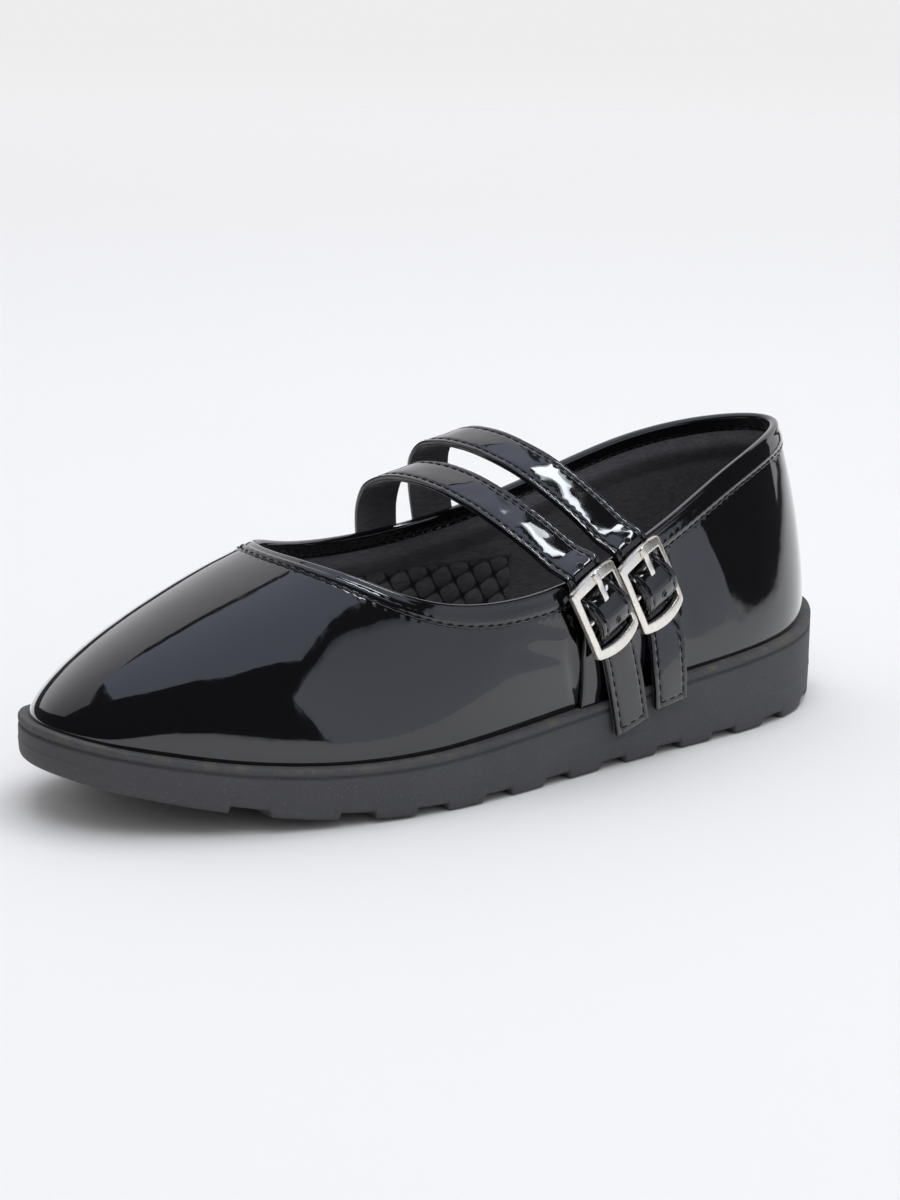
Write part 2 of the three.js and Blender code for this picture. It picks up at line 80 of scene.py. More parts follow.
SOLE_LENGTH = 262
TOE_THICKNESS = 11.5
BALL_THICKNESS = 17.2
HEEL_THICKNESS = 27
BALL_STATION = 110
TOE_SPRING = 15.7
SPRING_START = 100
LUG_DEPTH = 2
RECESS_WIDTH = 10
LUG_ENDS = [36, 64, 86, 108, 130, 152, 174, 196, 218, 240]     # a recess follows each
LUG_DRAFT = 0.9            # how far the slope of a lug's end runs
FEATHER_INSET = 3
TUCK = 0.7                 # how far the upper's edge is set into the sole
SPLINE_ROUNDS = 60
HALVINGS = 40
STEP = 0.01                # of a turn or a height share, where a direction is measured
WALL_STEPS = 40

Section = namedtuple(
    "Section",
    "station lateral medial collar collar_lateral collar_medial"
    " height_lateral height_medial bulge rise reach drop",
)
SECTIONS = [
    Section(0, 8.5, 8.5, 73, 4.5, 4.5, 64.8, 64.8, 1.4, 6.5, 48, 16.5),
    Section(7, -10.2, 27.8, 74.5, -6, 14.5, 64.6, 64.4, 1.4, 6.5, 44, 17),
    Section(20, -21.3, 38.2, 78.5, -15.5, 22.5, 63.3, 62.9, 1.4, 6.5, 36, 18),
    Section(40, -32.8, 44.6, 85.5, -24.5, 28.5, 60.4, 61, 1.4, 6, 23, 19),
    Section(66, -42.2, 48.5, 95.5, -33, 33.2, 56.2, 58.2, 1.8, 6.5, 10, 19),
    Section(96, -47.2, 46.3, 111, -38.5, 35.8, 53.4, 56.2, 2, 7, 5, 17),
    Section(128, -46.1, 39.3, 134, -39.6, 34.5, 54, 57.2, 1.8, 7, 3.2, 17),
    Section(160, -42.9, 34, 160, -36.8, 29.8, 58.8, 62.4, 1.4, 7, 2.6, 19),
    Section(190, -41, 31.5, 186, -31.8, 25.5, 66.8, 70.2, 1, 8, 3.4, 21),
    Section(216, -39, 31, 209, -26, 21.5, 75, 77.2, 1, 8.5, 5, 20),
    Section(238, -32.5, 26, 229, -20, 15.5, 80.8, 81.4, 1.2, 9, 6, 20),
    Section(254, -19.5, 13.5, 243, -12, 6.5, 83.4, 83.5, 1.4, 9, 6.5, 20),
    Section(262, -3.5, -3.5, 248, -3, -3, 84, 84, 1.4, 9, 7, 20),
]
HEEL = len(SECTIONS) - 1
ROUND = 2 * HEEL           # a whole turn: toe, lateral side, heel, medial side


def closed_spline(values):
    """A smooth closed curve through values one step apart."""
    count = len(values)
    bend = [0.0] * count
    for _ in range(SPLINE_ROUNDS):
        for i in range(count):
            kink = 6 * (values[i - 1] - 2 * values[i] + values[(i + 1) % count])
            bend[i] = (kink - bend[i - 1] - bend[(i + 1) % count]) / 4

    def value(t):
        low = math.floor(t)
        f = t - low
        g = 1 - f
        a, b = low % count, (low + 1) % count
        return g * values[a] + f * values[b] + ((g**3 - g) * bend[a] + (f**3 - f) * bend[b]) / 6

    return value


def round_shoe(lateral, medial=None):
    """One column of the section table, or a lateral and a medial one, as a curve round the shoe."""
    out = [getattr(row, lateral) for row in SECTIONS]
    back = [getattr(row, medial or lateral) for row in reversed(SECTIONS[1:HEEL])]
    return closed_spline(out + back)


sole_x = round_shoe("station")
sole_y = round_shoe("lateral", "medial")
collar_x = round_shoe("collar")
collar_y = round_shoe("collar_lateral", "collar_medial")
collar_z = round_shoe("height_lateral", "height_medial")
bulge = round_shoe("bulge")
rise = round_shoe("rise")
reach = round_shoe("reach")
drop = round_shoe("drop")


def outward(curve_x, curve_y, t):
    """The outward direction, seen from above, of a closed curve."""
    dx = curve_x(t + STEP) - curve_x(t - STEP)
    dy = curve_y(t + STEP) - curve_y(t - STEP)
    return Vector((dy, -dx, 0)).normalized()


def sole_edge(t, inset=0.0):
    """A point of the sole's outline at a turn t, seen from above."""
    return Vector((sole_x(t), sole_y(t), 0)) - inset * outward(sole_x, sole_y, t)


def tread_height(x):
    """Height of the tread, which springs up towards the toe."""
    return TOE_SPRING * (max(0, SPRING_START - x) / SPRING_START) ** 2


def sole_thickness(x):
    """Thickness of the wedge: straight from toe to heel, with a dip that gives the ball its own."""
    f = x / SOLE_LENGTH
    ball = BALL_STATION / SOLE_LENGTH
    straight = TOE_THICKNESS + (HEEL_THICKNESS - TOE_THICKNESS) * f
    dip = BALL_THICKNESS - (TOE_THICKNESS + (HEEL_THICKNESS - TOE_THICKNESS) * ball)
    return straight + dip * (f * (1 - f)) / (ball * (1 - ball))


def sole_top(x):
    return tread_height(x) + sole_thickness(x)


@lru_cache(maxsize=None)
def wall_curve(t):
    """The four control points of the wall at a turn t, from the sole up to the collar."""
    foot = sole_edge(t, FEATHER_INSET)
    foot.z = sole_top(foot.x) - TUCK
    collar = Vector((collar_x(t), collar_y(t), collar_z(t)))
    swell = foot + bulge(t) * outward(sole_x, sole_y, t) + Vector((0, 0, rise(t)))
    brow = collar + reach(t) * outward(collar_x, collar_y, t) - Vector((0, 0, drop(t)))
    return foot, swell, brow, collar


def wall_point(t, v):
    """A point of the wall's outer face, from the sole at v = 0 to the collar at v = 1."""
    a, b, c, d = wall_curve(round(t, 6))
    w = 1 - v
    return w**3 * a + 3 * w * w * v * b + 3 * w * v * v * c + v**3 * d


def wall_normal(t, v):
    along = wall_point(t + STEP, v) - wall_point(t - STEP, v)
    up = wall_point(t, min(1, v + STEP)) - wall_point(t, max(0, v - STEP))
    return along.cross(up).normalized()


def running_lengths(points):
    """The length of the way through points, up to each of them."""
    lengths = [0.0]
    for before, after in zip(points, points[1:]):
        lengths.append(lengths[-1] + (after - before).length)
    return lengths


def even_places(lengths, count):
    """Where count even steps of a way start: the index before each, and its share of the next stretch."""
    places, k = [], 0
    for i in range(count):
        goal = lengths[-1] * i / count
        while lengths[k + 1] < goal:
            k += 1
        places.append((k, (goal - lengths[k]) / (lengths[k + 1] - lengths[k])))
    return places


def halfway(low, high, before):
    """The place between low and high where before(place) stops being true, by halving."""
    for _ in range(HALVINGS):
        middle = (low + high) / 2
        if before(middle):
            low = middle
        else:
            high = middle
    return (low + high) / 2


@lru_cache(maxsize=None)
def wall_lengths(t):
    """Lengths down the wall from the collar, at even steps of v."""
    return running_lengths([wall_point(t, 1 - i / WALL_STEPS) for i in range(WALL_STEPS + 1)])


def share_at(t, depth):
    """The v of the point that lies depth below the collar along the wall."""
    lengths = wall_lengths(round(t, 6))
    for i in range(WALL_STEPS):
        if depth <= lengths[i + 1]:
            f = (depth - lengths[i]) / (lengths[i + 1] - lengths[i])
            return 1 - (i + f) / WALL_STEPS
    return 0.0


def below_collar(t, depth, offset):
    """The point depth below the collar and offset out of the wall; a depth under 0 stands above it."""
    v = share_at(t, max(depth, 0))
    point = wall_point(t, v) + offset * wall_normal(t, v)
    if depth < 0:
        _, _, brow, collar = wall_curve(round(t, 6))
        point -= depth * (collar - brow).normalized()
    return point


def wall_at(side, x, z):
    """The wall's turn and height share on one side, at a distance x from the toe and a height z."""

    def share(t):
        return halfway(0, 1, lambda v: wall_point(t, v).z < z)

    toe = 1 if side == "lateral" else ROUND - 1
    t = halfway(toe, HEEL, lambda turn: wall_point(turn, share(turn)).x < x)
    return t, share(t)


def off_wall(side, x, z, distance):
    """A point at a distance out of the wall."""
    t, v = wall_at(side, x, z)
    return wall_point(t, v) + distance * wall_normal(t, v)


SOLE_LOW, SOLE_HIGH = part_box("outsole")
SHIFT_X = SOLE_LOW.x / MM
SHIFT_Y = SOLE_LOW.y / MM - min(sole_y(i / 100) for i in range(100 * ROUND))


def seat(point):
    """A point in the shoe's millimetres, in the frame's metres."""
    return Vector((point.x + SHIFT_X, point.y + SHIFT_Y, point.z)) * MM


# ---------------------------------------------------------------- paths


def smooth_path(points, step):
    """Points at an even step along a smooth curve through points."""
    ends = [2 * points[0] - points[1]] + list(points) + [2 * points[-1] - points[-2]]
    dense = []
    per_stretch = 24
    for p0, p1, p2, p3 in zip(ends, ends[1:], ends[2:], ends[3:]):
        d0, d1, d2 = ((b - a).length ** 0.5 for a, b in ((p0, p1), (p1, p2), (p2, p3)))
        m1 = ((p1 - p0) / d0 - (p2 - p0) / (d0 + d1) + (p2 - p1) / d1) * d1
        m2 = ((p2 - p1) / d1 - (p3 - p1) / (d1 + d2) + (p3 - p2) / d2) * d1
        for i in range(per_stretch):
            f = i / per_stretch
            dense.append(
                (2 * f**3 - 3 * f * f + 1) * p1
                + (f**3 - 2 * f * f + f) * m1
                + (3 * f * f - 2 * f**3) * p2
                + (f**3 - f * f) * m2
            )
    dense.append(points[-1])
    lengths = running_lengths(dense)
    count = max(2, round(lengths[-1] / step))
    return [dense[k].lerp(dense[k + 1], f) for k, f in even_places(lengths, count)] + [dense[-1]]


Station = namedtuple("Station", "centre along across out distance")


def stations_of(points, width_hint):
    """A frame at each point of a path: along it, across its width and out of its face."""
    found = []
    last = len(points) - 1
    for i, (point, distance) in enumerate(zip(points, running_lengths(points))):
        along = (points[min(i + 1, last)] - points[max(i - 1, 0)]).normalized()
        hint = width_hint(point, i / last)
        across = (hint - along * hint.dot(along)).normalized()
        found.append(Station(point, along, across, along.cross(across), distance))
    return found


def turned(x_axis, y_axis, z_axis):
    """A matrix that turns X, Y and Z into three directions."""
    return Matrix((x_axis, y_axis, z_axis)).transposed().to_4x4()


def smoothstep(value, low, high):
    """0 up to low, 1 from high on, and a soft rise between."""
    f = min(1.0, max(0.0, (value - low) / (high - low)))
    return f * f * (3 - 2 * f)


def hump(value, centre, width):
    """A soft bell of height 1."""
    return math.exp(-(((value - centre) / width) ** 2))


# ---------------------------------------------------------------- meshes

WELD = 0.002 * MM          # corners this close are one
SLIVER = 0.001 * MM


def add_sheet(bm, columns, rows, point, material_at=None):
    """A grid whose corners are put in place by point(column, row).

    material_at(low, high) may give a face its material by the lowest and highest row that it touches."""
    made = bmesh.ops.create_grid(bm, x_segments=columns, y_segments=rows, size=1)["verts"]
    row_of = {}
    for vert in made:
        column = round((vert.co.x + 1) / 2 * columns)
        row_of[vert] = round((vert.co.y + 1) / 2 * rows)
        vert.co = seat(point(column, row_of[vert]))
    if material_at:
        for face in {face for vert in made for face in vert.link_faces}:
            touched = [row_of[vert] for vert in face.verts]
            face.material_index = material_at(min(touched), max(touched))


def linked(name, data):
    """An object of the given mesh, lamp or camera data, in the scene."""
    made = bpy.data.objects.new(name, data)
    bpy.context.scene.collection.objects.link(made)
    return made


def mesh_object(name, bm, materials):
    """An object of a bmesh, which is used up."""
    mesh = bpy.data.meshes.new(name)
    bm.to_mesh(mesh)
    bm.free()
    for material in materials:
        mesh.materials.append(material)
    return linked(name, mesh)


def finish_piece(name, bm, finishes, slot, *nodes, smooth=True):
    """Closes a bmesh into a piece that rides on the shoe and stands for the CAD nodes."""
    bmesh.ops.remove_doubles(bm, verts=bm.verts, dist=WELD)
    bmesh.ops.dissolve_degenerate(bm, edges=bm.edges, dist=SLIVER)
    bmesh.ops.recalc_face_normals(bm, faces=bm.faces)
    for face in bm.faces:
        face.smooth = smooth
    piece = mesh_object(name, bm, [finish_named(finish) for finish in finishes])
    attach(piece, BODY)
    if nodes:
        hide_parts(*nodes)
    return piece


def close_ends(bm):
    """Fills the open ends of a tube."""
    bmesh.ops.remove_doubles(bm, verts=bm.verts, dist=WELD)
    bmesh.ops.holes_fill(bm, edges=[edge for edge in bm.edges if edge.is_boundary], sides=0)


def rounded_loop(corners, per_corner):
    """A closed smooth outline through 2-D corners, as (a, b) pairs."""
    count = len(corners)
    loop = []
    for i in range(count):
        p0, p1, p2, p3 = (corners[(i + k) % count] for k in (-1, 0, 1, 2))
        for j in range(per_corner):
            f = j / per_corner
            loop.append(tuple(
                0.5 * (2 * b + (c - a) * f + (2 * a - 5 * b + 4 * c - d) * f * f
                       + (3 * b - a - 3 * c + d) * f**3)
                for a, b, c, d in zip(p0, p1, p2, p3)
            ))
    return loop


# ---------------------------------------------------------------- materials


class Sum:
    """Wraps a shader socket so that Python's operators add Math nodes."""

    def __init__(self, paint, socket):
        self.paint = paint
        self.socket = socket

    def math(self, operation, *others, flipped=False):
        values = [self, *others]
        if flipped:
            values.reverse()
        return self.paint.node("ShaderNodeMath", {"operation": operation}, values)

    def __add__(self, other):
        return self.math("ADD", other)

    __radd__ = __add__

    def __mul__(self, other):
        return self.math("MULTIPLY", other)

    __rmul__ = __mul__

    def __sub__(self, other):
        return self.math("SUBTRACT", other)

    def __rsub__(self, other):
        return self.math("SUBTRACT", other, flipped=True)

    def __pow__(self, other):
        return self.math("POWER", other)

    def above(self, level, soft):
        """0 below level and 1 above it, over a soft edge."""
        return self.paint.node(
            "ShaderNodeMapRange",
            {"interpolation_type": "SMOOTHSTEP", "clamp": True},
            {"Value": self, "From Min": level - soft, "From Max": level + soft},
        )


class Paint:
    """A material under construction."""

    def __init__(self, name, **shader):
        self.material = bpy.data.materials.new(name)
        self.material.use_nodes = True
        self.tree = self.material.node_tree
        self.shader = self.tree.nodes["Principled BSDF"]
        for socket, value in shader.items():
            self.shader.inputs[socket.replace("_", " ")].default_value = value
        self.place = self.node("ShaderNodeTexCoord", output="Object")

    def node(self, kind, settings=None, inputs=None, output=0):
        """Adds a node: its settings first, then its sockets' values or links."""
        made = self.tree.nodes.new(kind)
        for name, value in (settings or {}).items():
            setattr(made, name, value)
        pairs = inputs.items() if isinstance(inputs, dict) else enumerate(inputs or [])
        for name, value in pairs:
            if isinstance(value, Sum):
                self.tree.links.new(value.socket, made.inputs[name])
            else:
                made.inputs[name].default_value = value
        return Sum(self, made.outputs[output])

    def speckle(self, scale, detail=2.0, stretch=(1, 1, 1), turn=(0, 0, 0)):
        """Noise of the given scale, in cells per metre."""
        place = self.node(
            "ShaderNodeMapping", None,
            {"Vector": self.place, "Scale": stretch, "Rotation": turn},
        )
        return self.node("ShaderNodeTexNoise", None, {"Vector": place, "Scale": scale, "Detail": detail})

    def mix(self, share, first, second):
        """A colour between first and second."""
        return self.node("ShaderNodeMix", {"data_type": "RGBA"}, {0: share, 6: first, 7: second}, output=2)

    def attribute(self, name):
        """A number that the mesh holds at each of its corners."""
        return self.node("ShaderNodeAttribute", {"attribute_name": name}, output=2)

    def vector(self, operation, *vectors, output=0):
        return self.node("ShaderNodeVectorMath", {"operation": operation}, vectors, output)

    def feed(self, **sockets):
        """Links the shader's sockets, with _ for a space in their names."""
        for name, value in sockets.items():
            self.tree.links.new(value.socket, self.shader.inputs[name.replace("_", " ")])
        return self

    def bump(self, height, depth):
        """Bump of a height from 0 to 1, depth in metres."""
        self.feed(Normal=self.node(
            "ShaderNodeBump", None, {"Height": height, "Distance": depth, "Strength": 1.0}
        ))
        return self


def shade(colour, factor=1.0):
    """A colour made darker or lighter, with the alpha that a socket wants."""
    return (*(part * factor for part in colour), 1.0)


BLACK = (0, 0, 0, 1)
Gloss = namedtuple("Gloss", "coat_roughness peel peel_share fine fine_share detail depth")
SMOOTH_GLOSS = Gloss(0.015, 75, 0.8, 420, 0.05, 2, 0.00028)
CRINKLED_GLOSS = Gloss(0.02, 85, 0.85, 260, 0.06, 0, 0.00042)


def patent(name, gloss, colours):
    """Lacquered leather: near-black under a mirror-like coat with a slight orange peel.

    On the straps it is crinkled, where folding it over their edges has left it uneven."""
    paint = Paint(name, IOR=1.5, Coat_Weight=1.0, Coat_Roughness=gloss.coat_roughness, Coat_IOR=1.5)
    colour = paint.mix(paint.speckle(220), shade(colours.patent), shade(colours.patent, 0.6))
    paint.feed(Base_Color=colour, Roughness=paint.speckle(90, 4) * 0.05 + 0.045)
    peel = paint.speckle(gloss.peel, gloss.detail) * gloss.peel_share
    fine = paint.speckle(gloss.fine, gloss.detail) * gloss.fine_share
    return paint.bump(peel + fine, gloss.depth).material


def brushed_cloth(name):
    """A cloth's paint, with its fine fibres, which lie along the shoe, and its broader clouding."""
    paint = Paint(name, IOR=1.4, Sheen_Weight=0.5, Sheen_Roughness=0.4)
    fibres = paint.speckle(1400, 3, stretch=(0.22, 1, 1), turn=(0, 0, 0.4))
    paint.feed(Roughness=fibres * 0.1 + 0.88)
    return paint, fibres, paint.speckle(160, 3)


def napped_lining(colours):
    """Brushed lining."""
    paint, fibres, cloud = brushed_cloth("napped_lining")
    nap = fibres * 0.7 + cloud * 0.3
    paint.feed(Base_Color=paint.mix(nap, shade(colours.lining, 0.45), shade(colours.lining, 1.9)))
    return paint.bump(nap, 0.0004).material


WALL_SQUARE = 0.75          # of the insole's quilted square
QUILT_LENGTH = 174          # from the toe tip; the wall is plain behind it
QUILT_HEIGHT = 43.5         # and above this height
QUILT_TURN = math.radians(27)


def quilted(name, upright, colours):
    """The lining's cloth sewn down in turned squares, with painted shade in the grooves between them: on
    the insole, or upright on the foot of the wall.
    """
    paint, fibres, cloud = brushed_cloth(name)
    square = bpy.context.scene.shoe_sizes.quilt_square * (WALL_SQUARE if upright else 1)
    from_toe = paint.vector("SUBTRACT", paint.place, seat(Vector()))
    second = Vector((0, 0, 1) if upright else (0, 1, 0))

    def wave(turn):
        axis = Vector((math.cos(turn), 0, 0)) + math.sin(turn) * second
        along = paint.vector("DOT_PRODUCT", from_toe, axis, output=1)
        return (along * (math.pi / square)).math("SINE").math("ABSOLUTE")

    puff = (wave(QUILT_TURN) * wave(QUILT_TURN + math.pi / 2)) ** 0.6
    if upright:
        for axis, limit in ((0, QUILT_LENGTH), (2, QUILT_HEIGHT)):
            part = paint.node("ShaderNodeSeparateXYZ", None, [from_toe], output=axis)
            puff = puff.math("MAXIMUM", part.above(limit * MM, MM))
    nap = fibres * 0.75 + cloud * 0.25
    cloth = paint.mix(nap, shade(colours.lining, 0.4), shade(colours.lining, 2.4))
    # Painted shade: the colour sinks to a tenth of the lining's in the grooves between the puffs.
    paint.feed(Base_Color=paint.mix(puff.above(0.3, 0.16), shade(colours.lining, 0.1), cloth))
    return paint.bump(fibres * 0.2 + puff, 0.0008 if upright else 0.0014).material


CEMENT = (0.11, 0.104, 0.074, 1)


def moulded_rubber(colours):
    """Matte sole rubber, faintly mottled, with a film of cement under the feather line."""
    paint = Paint("moulded_rubber", IOR=1.48)
    grain = paint.speckle(2600, 3)
    mottle = paint.speckle(70, 5)
    clean = paint.mix(mottle, shade(colours.rubber, 0.78), shade(colours.rubber, 1.25))
    below = paint.attribute("below_top")
    patches = paint.speckle(260, 4)
    film = (1 - below.above(1.4, 1.1)) * (patches + mottle * 0.5).above(0.82, 0.1)
    speck = paint.speckle(1500, 2).above(0.66, 0.05)
    clean = paint.mix(speck * 0.35, clean, shade(colours.rubber, 2.4))
    colour = paint.mix(film * 0.55, clean, CEMENT)
    paint.feed(Base_Color=colour, Roughness=mottle * 0.14 + film * 0.1 + 0.58)
    return paint.bump(grain * 0.45 + mottle * 0.35 + patches * film * 0.9, 0.00022).material


def plated_metal(colours):
    """Pale plated buckle metal with faint polishing lines."""
    paint = Paint("plated_metal", Metallic=1.0, IOR=2.0)
    lines = paint.speckle(900, 2, stretch=(1, 1, 0.15))
    colour = paint.mix(lines, shade(colours.metal), shade(colours.metal, 0.88))
    paint.feed(Base_Color=colour, Roughness=lines * 0.08 + 0.24)
    return paint.bump(lines, 0.00001).material


def sewing_thread(colours):
    """Black sewing thread."""
    paint = Paint("sewing_thread", IOR=1.5, Specular_IOR_Level=0.22)
    twist = paint.speckle(3200, 2)
    colour = paint.mix(twist, shade(colours.thread, 0.6), shade(colours.thread, 1.5))
    paint.feed(Base_Color=colour, Roughness=twist * 0.2 + 0.55)
    return paint.bump(twist, 0.0001).material


FINISHES = {
    "patent_leather": partial(patent, "patent_leather", SMOOTH_GLOSS),
    "crinkled_patent": partial(patent, "crinkled_patent", CRINKLED_GLOSS),
    "napped_lining": napped_lining,
    "quilted_insole": partial(quilted, "quilted_insole", False),
    "quilted_wall": partial(quilted, "quilted_wall", True),
    "moulded_rubber": moulded_rubber,
    "plated_metal": plated_metal,
    "sewing_thread": sewing_thread,
}


def finish_named(name):
    """A finish, made the first time it is asked for."""
    return bpy.data.materials.get(name) or FINISHES[name](bpy.context.scene.shoe_colours)


# ---------------------------------------------------------------- settings


class ShoeSizes(bpy.types.PropertyGroup):
    """Sizes of the sewn and moulded detail"""

    stitch_pitch: FloatProperty(
        name="Stitch pitch", description="Distance from one stitch to the next",
        default=3.0 * MM, min=1 * MM, unit="LENGTH")
    stitch_length: FloatProperty(
        name="Stitch length", description="Length of thread that shows in each stitch",
        default=2.1 * MM, min=0.5 * MM, unit="LENGTH")
    binding_depth: FloatProperty(
        name="Binding depth", description="How far the top binding reaches down the outside",
        default=6.6 * MM, min=3 * MM, unit="LENGTH")
    strap_width: FloatProperty(
        name="Strap width", description="Width of each instep strap",
        default=13 * MM, min=6 * MM, unit="LENGTH")
    strap_thickness: FloatProperty(
        name="Strap thickness", description="Thickness of a strap at its middle",
        default=1.7 * MM, min=0.8 * MM, unit="LENGTH")
    quilt_square: FloatProperty(
        name="Quilt square", description="Side of the insole's quilted squares",
        default=8 * MM, min=3 * MM, unit="LENGTH")


class ShoeColours(bpy.types.PropertyGroup):
    """Colours of the shoe's finishes"""

    patent: FloatVectorProperty(
        name="Patent", description="Lacquered leather", subtype="COLOR", default=(0.0022, 0.0022, 0.0028))
    lining: FloatVectorProperty(
        name="Lining", description="Brushed lining and insole", subtype="COLOR",
        default=(0.075, 0.071, 0.077))
    rubber: FloatVectorProperty(
        name="Rubber", description="Sole rubber", subtype="COLOR", default=(0.06, 0.0595, 0.064))
    metal: FloatVectorProperty(
        name="Metal", description="Buckles and prongs", subtype="COLOR", default=(0.98, 0.94, 0.85))
    thread: FloatVectorProperty(
        name="Thread", description="Sewing thread", subtype="COLOR", default=(0.004, 0.004, 0.0045))
    floor: FloatVectorProperty(
        name="Floor", description="Studio floor", subtype="COLOR", default=(0.8, 0.796, 0.782))


# ---------------------------------------------------------------- upper, binding and lining

TOPLINE_COLUMNS = 900
TOPLINE_SAMPLES = 2400
LOW_ROW = 4                 # roughly how much lower each row lies, on the way down to the sole
SEAM_GROOVE = 0.3
UPPER_PUCKER = 0.035
BINDING_PUCKER = 0.03
UPPER_SAG = 0.22
LINING_SAG = 0.35
LINING_OFFSET = 2.05        # from the outer face


@lru_cache(maxsize=None)
def topline_turns():
    """Turn values at even steps along the top line, and the length of the top line."""
    turns = [ROUND * i / TOPLINE_SAMPLES for i in range(TOPLINE_SAMPLES + 1)]
    lengths = running_lengths([wall_point(t, 1) for t in turns])
    places = even_places(lengths, TOPLINE_COLUMNS)
    return tuple(turns[k] + f * (turns[k + 1] - turns[k]) for k, f in places), lengths[-1]


def seam_depth(t, sizes):
    """Depth of the binding's seam under the top line: the strip is narrower across the throat."""
    away = min(t, ROUND - t)
    share = 0.55 + 0.15 * smoothstep(away, 0, 3.5) + 0.18 * smoothstep(away, 3.5, 5.5)
    return sizes.binding_depth / MM * (share + 0.12 * smoothstep(away, 5.5, 8))


def stitch_wave(column, sizes):
    """1 under the middle of a stitch and -1 between two, at a column of the top line."""
    _, length = topline_turns()
    count = round(length / (sizes.stitch_pitch / MM))
    return math.cos(2 * math.pi * (column / TOPLINE_COLUMNS * count - 0.5))


# Soft folds that wear has put in the wall: where they start and end (distance from the toe, height),
# their half width and their depth; a depth under 0 is a ridge.
Fold = namedtuple("Fold", "side start end width depth")
FOLDS = [
    Fold("lateral", (118, 47), (140, 41), 3.2, 0.35),
    Fold("lateral", (120, 40), (141, 35), 3.0, 0.3),
    Fold("lateral", (126, 44), (144, 38), 2.4, -0.25),
    Fold("lateral", (141, 38), (144, 22), 2.2, 0.4),
    Fold("lateral", (146, 34), (148, 22), 2.0, -0.3),
    Fold("lateral", (182, 62), (190, 36), 4.5, 0.4),
    Fold("lateral", (196, 70), (206, 40), 6.0, -0.35),
    Fold("medial", (120, 48), (142, 40), 3.4, 0.35),
    Fold("medial", (150, 40), (154, 24), 2.6, 0.35),
    Fold("medial", (186, 66), (196, 38), 5.0, 0.35),
]


def fold_offset(point, medial):
    """How far the folds push the wall in or out at a point."""
    total = 0.0
    for fold in FOLDS:
        if (fold.side == "medial") != medial:
            continue
        (x0, z0), (x1, z1) = fold.start, fold.end
        dx, dz = x1 - x0, z1 - z0
        f = ((point.x - x0) * dx + (point.z - z0) * dz) / (dx * dx + dz * dz)
        away = math.hypot(point.x - x0 - f * dx, point.z - z0 - f * dz)
        ends = smoothstep(f, -0.25, 0.25) * (1 - smoothstep(f, 0.75, 1.25))
        total -= fold.depth * ends * hump(away, 0, fold.width)
    return total


def sag(point, size, depth):
    """The gentle unevenness of lasted leather."""
    return depth * noise.noise(point / size)


def add_wall(bm, turns, depths, low_rows, face, back, back_offset):
    """A closed wall round the shoe, from depths[0] below the collar to the sole and up again behind.

    face(column, v, depth) gives a point of its front. Its plain back lies back_offset inside the outer
    face, at the given shares of its height."""
    columns = len(turns)

    def at(column, row):
        column %= columns
        t = turns[column]
        if row < len(depths):
            return face(column, share_at(t, depths[row]), depths[row])
        row -= len(depths)
        if row < low_rows:
            v = share_at(t, depths[-1]) * (1 - (row + 1) / low_rows)
            return face(column, v, depths[-1] + LOW_ROW * (row + 1))
        row -= low_rows
        top = share_at(t, depths[0])
        if row < len(back):
            return wall_point(t, top * back[row]) - back_offset * wall_normal(t, top * back[row])
        return face(column, top, depths[0])

    add_sheet(bm, columns, len(depths) + low_rows + len(back), at)


class SHOE_OT_upper(bpy.types.Operator):
    """Lasted patent upper, with its soft folds and the seam that holds the binding"""

    bl_idname = "shoe.upper"
    bl_label = "Upper"

    def execute(self, context):
        sizes = context.scene.shoe_sizes
        turns, _ = topline_turns()

        def face(column, v, depth):
            t = turns[column]
            point = wall_point(t, v)
            seam = seam_depth(t, sizes)
            pucker = UPPER_PUCKER * stitch_wave(column, sizes) * hump(depth, seam + 0.9, 0.75)
            sunk = pucker + SEAM_GROOVE * hump(depth, seam, 0.5)
            lift = fold_offset(point, t > HEEL) + sag(point, 26, UPPER_SAG) * smoothstep(depth, 4, 16)
            return point + (lift - sunk) * wall_normal(t, v)

        bm = bmesh.new()
        near_seam = [1.2 + 0.35 * i for i in range(24)]
        add_wall(bm, turns, near_seam, 34, face, back=[0.1, 0.35, 0.6, 0.85], back_offset=1.3)
        finish_piece("upper_shell", bm, ["patent_leather"], "patent_upper", "upper")
        return {"FINISHED"}


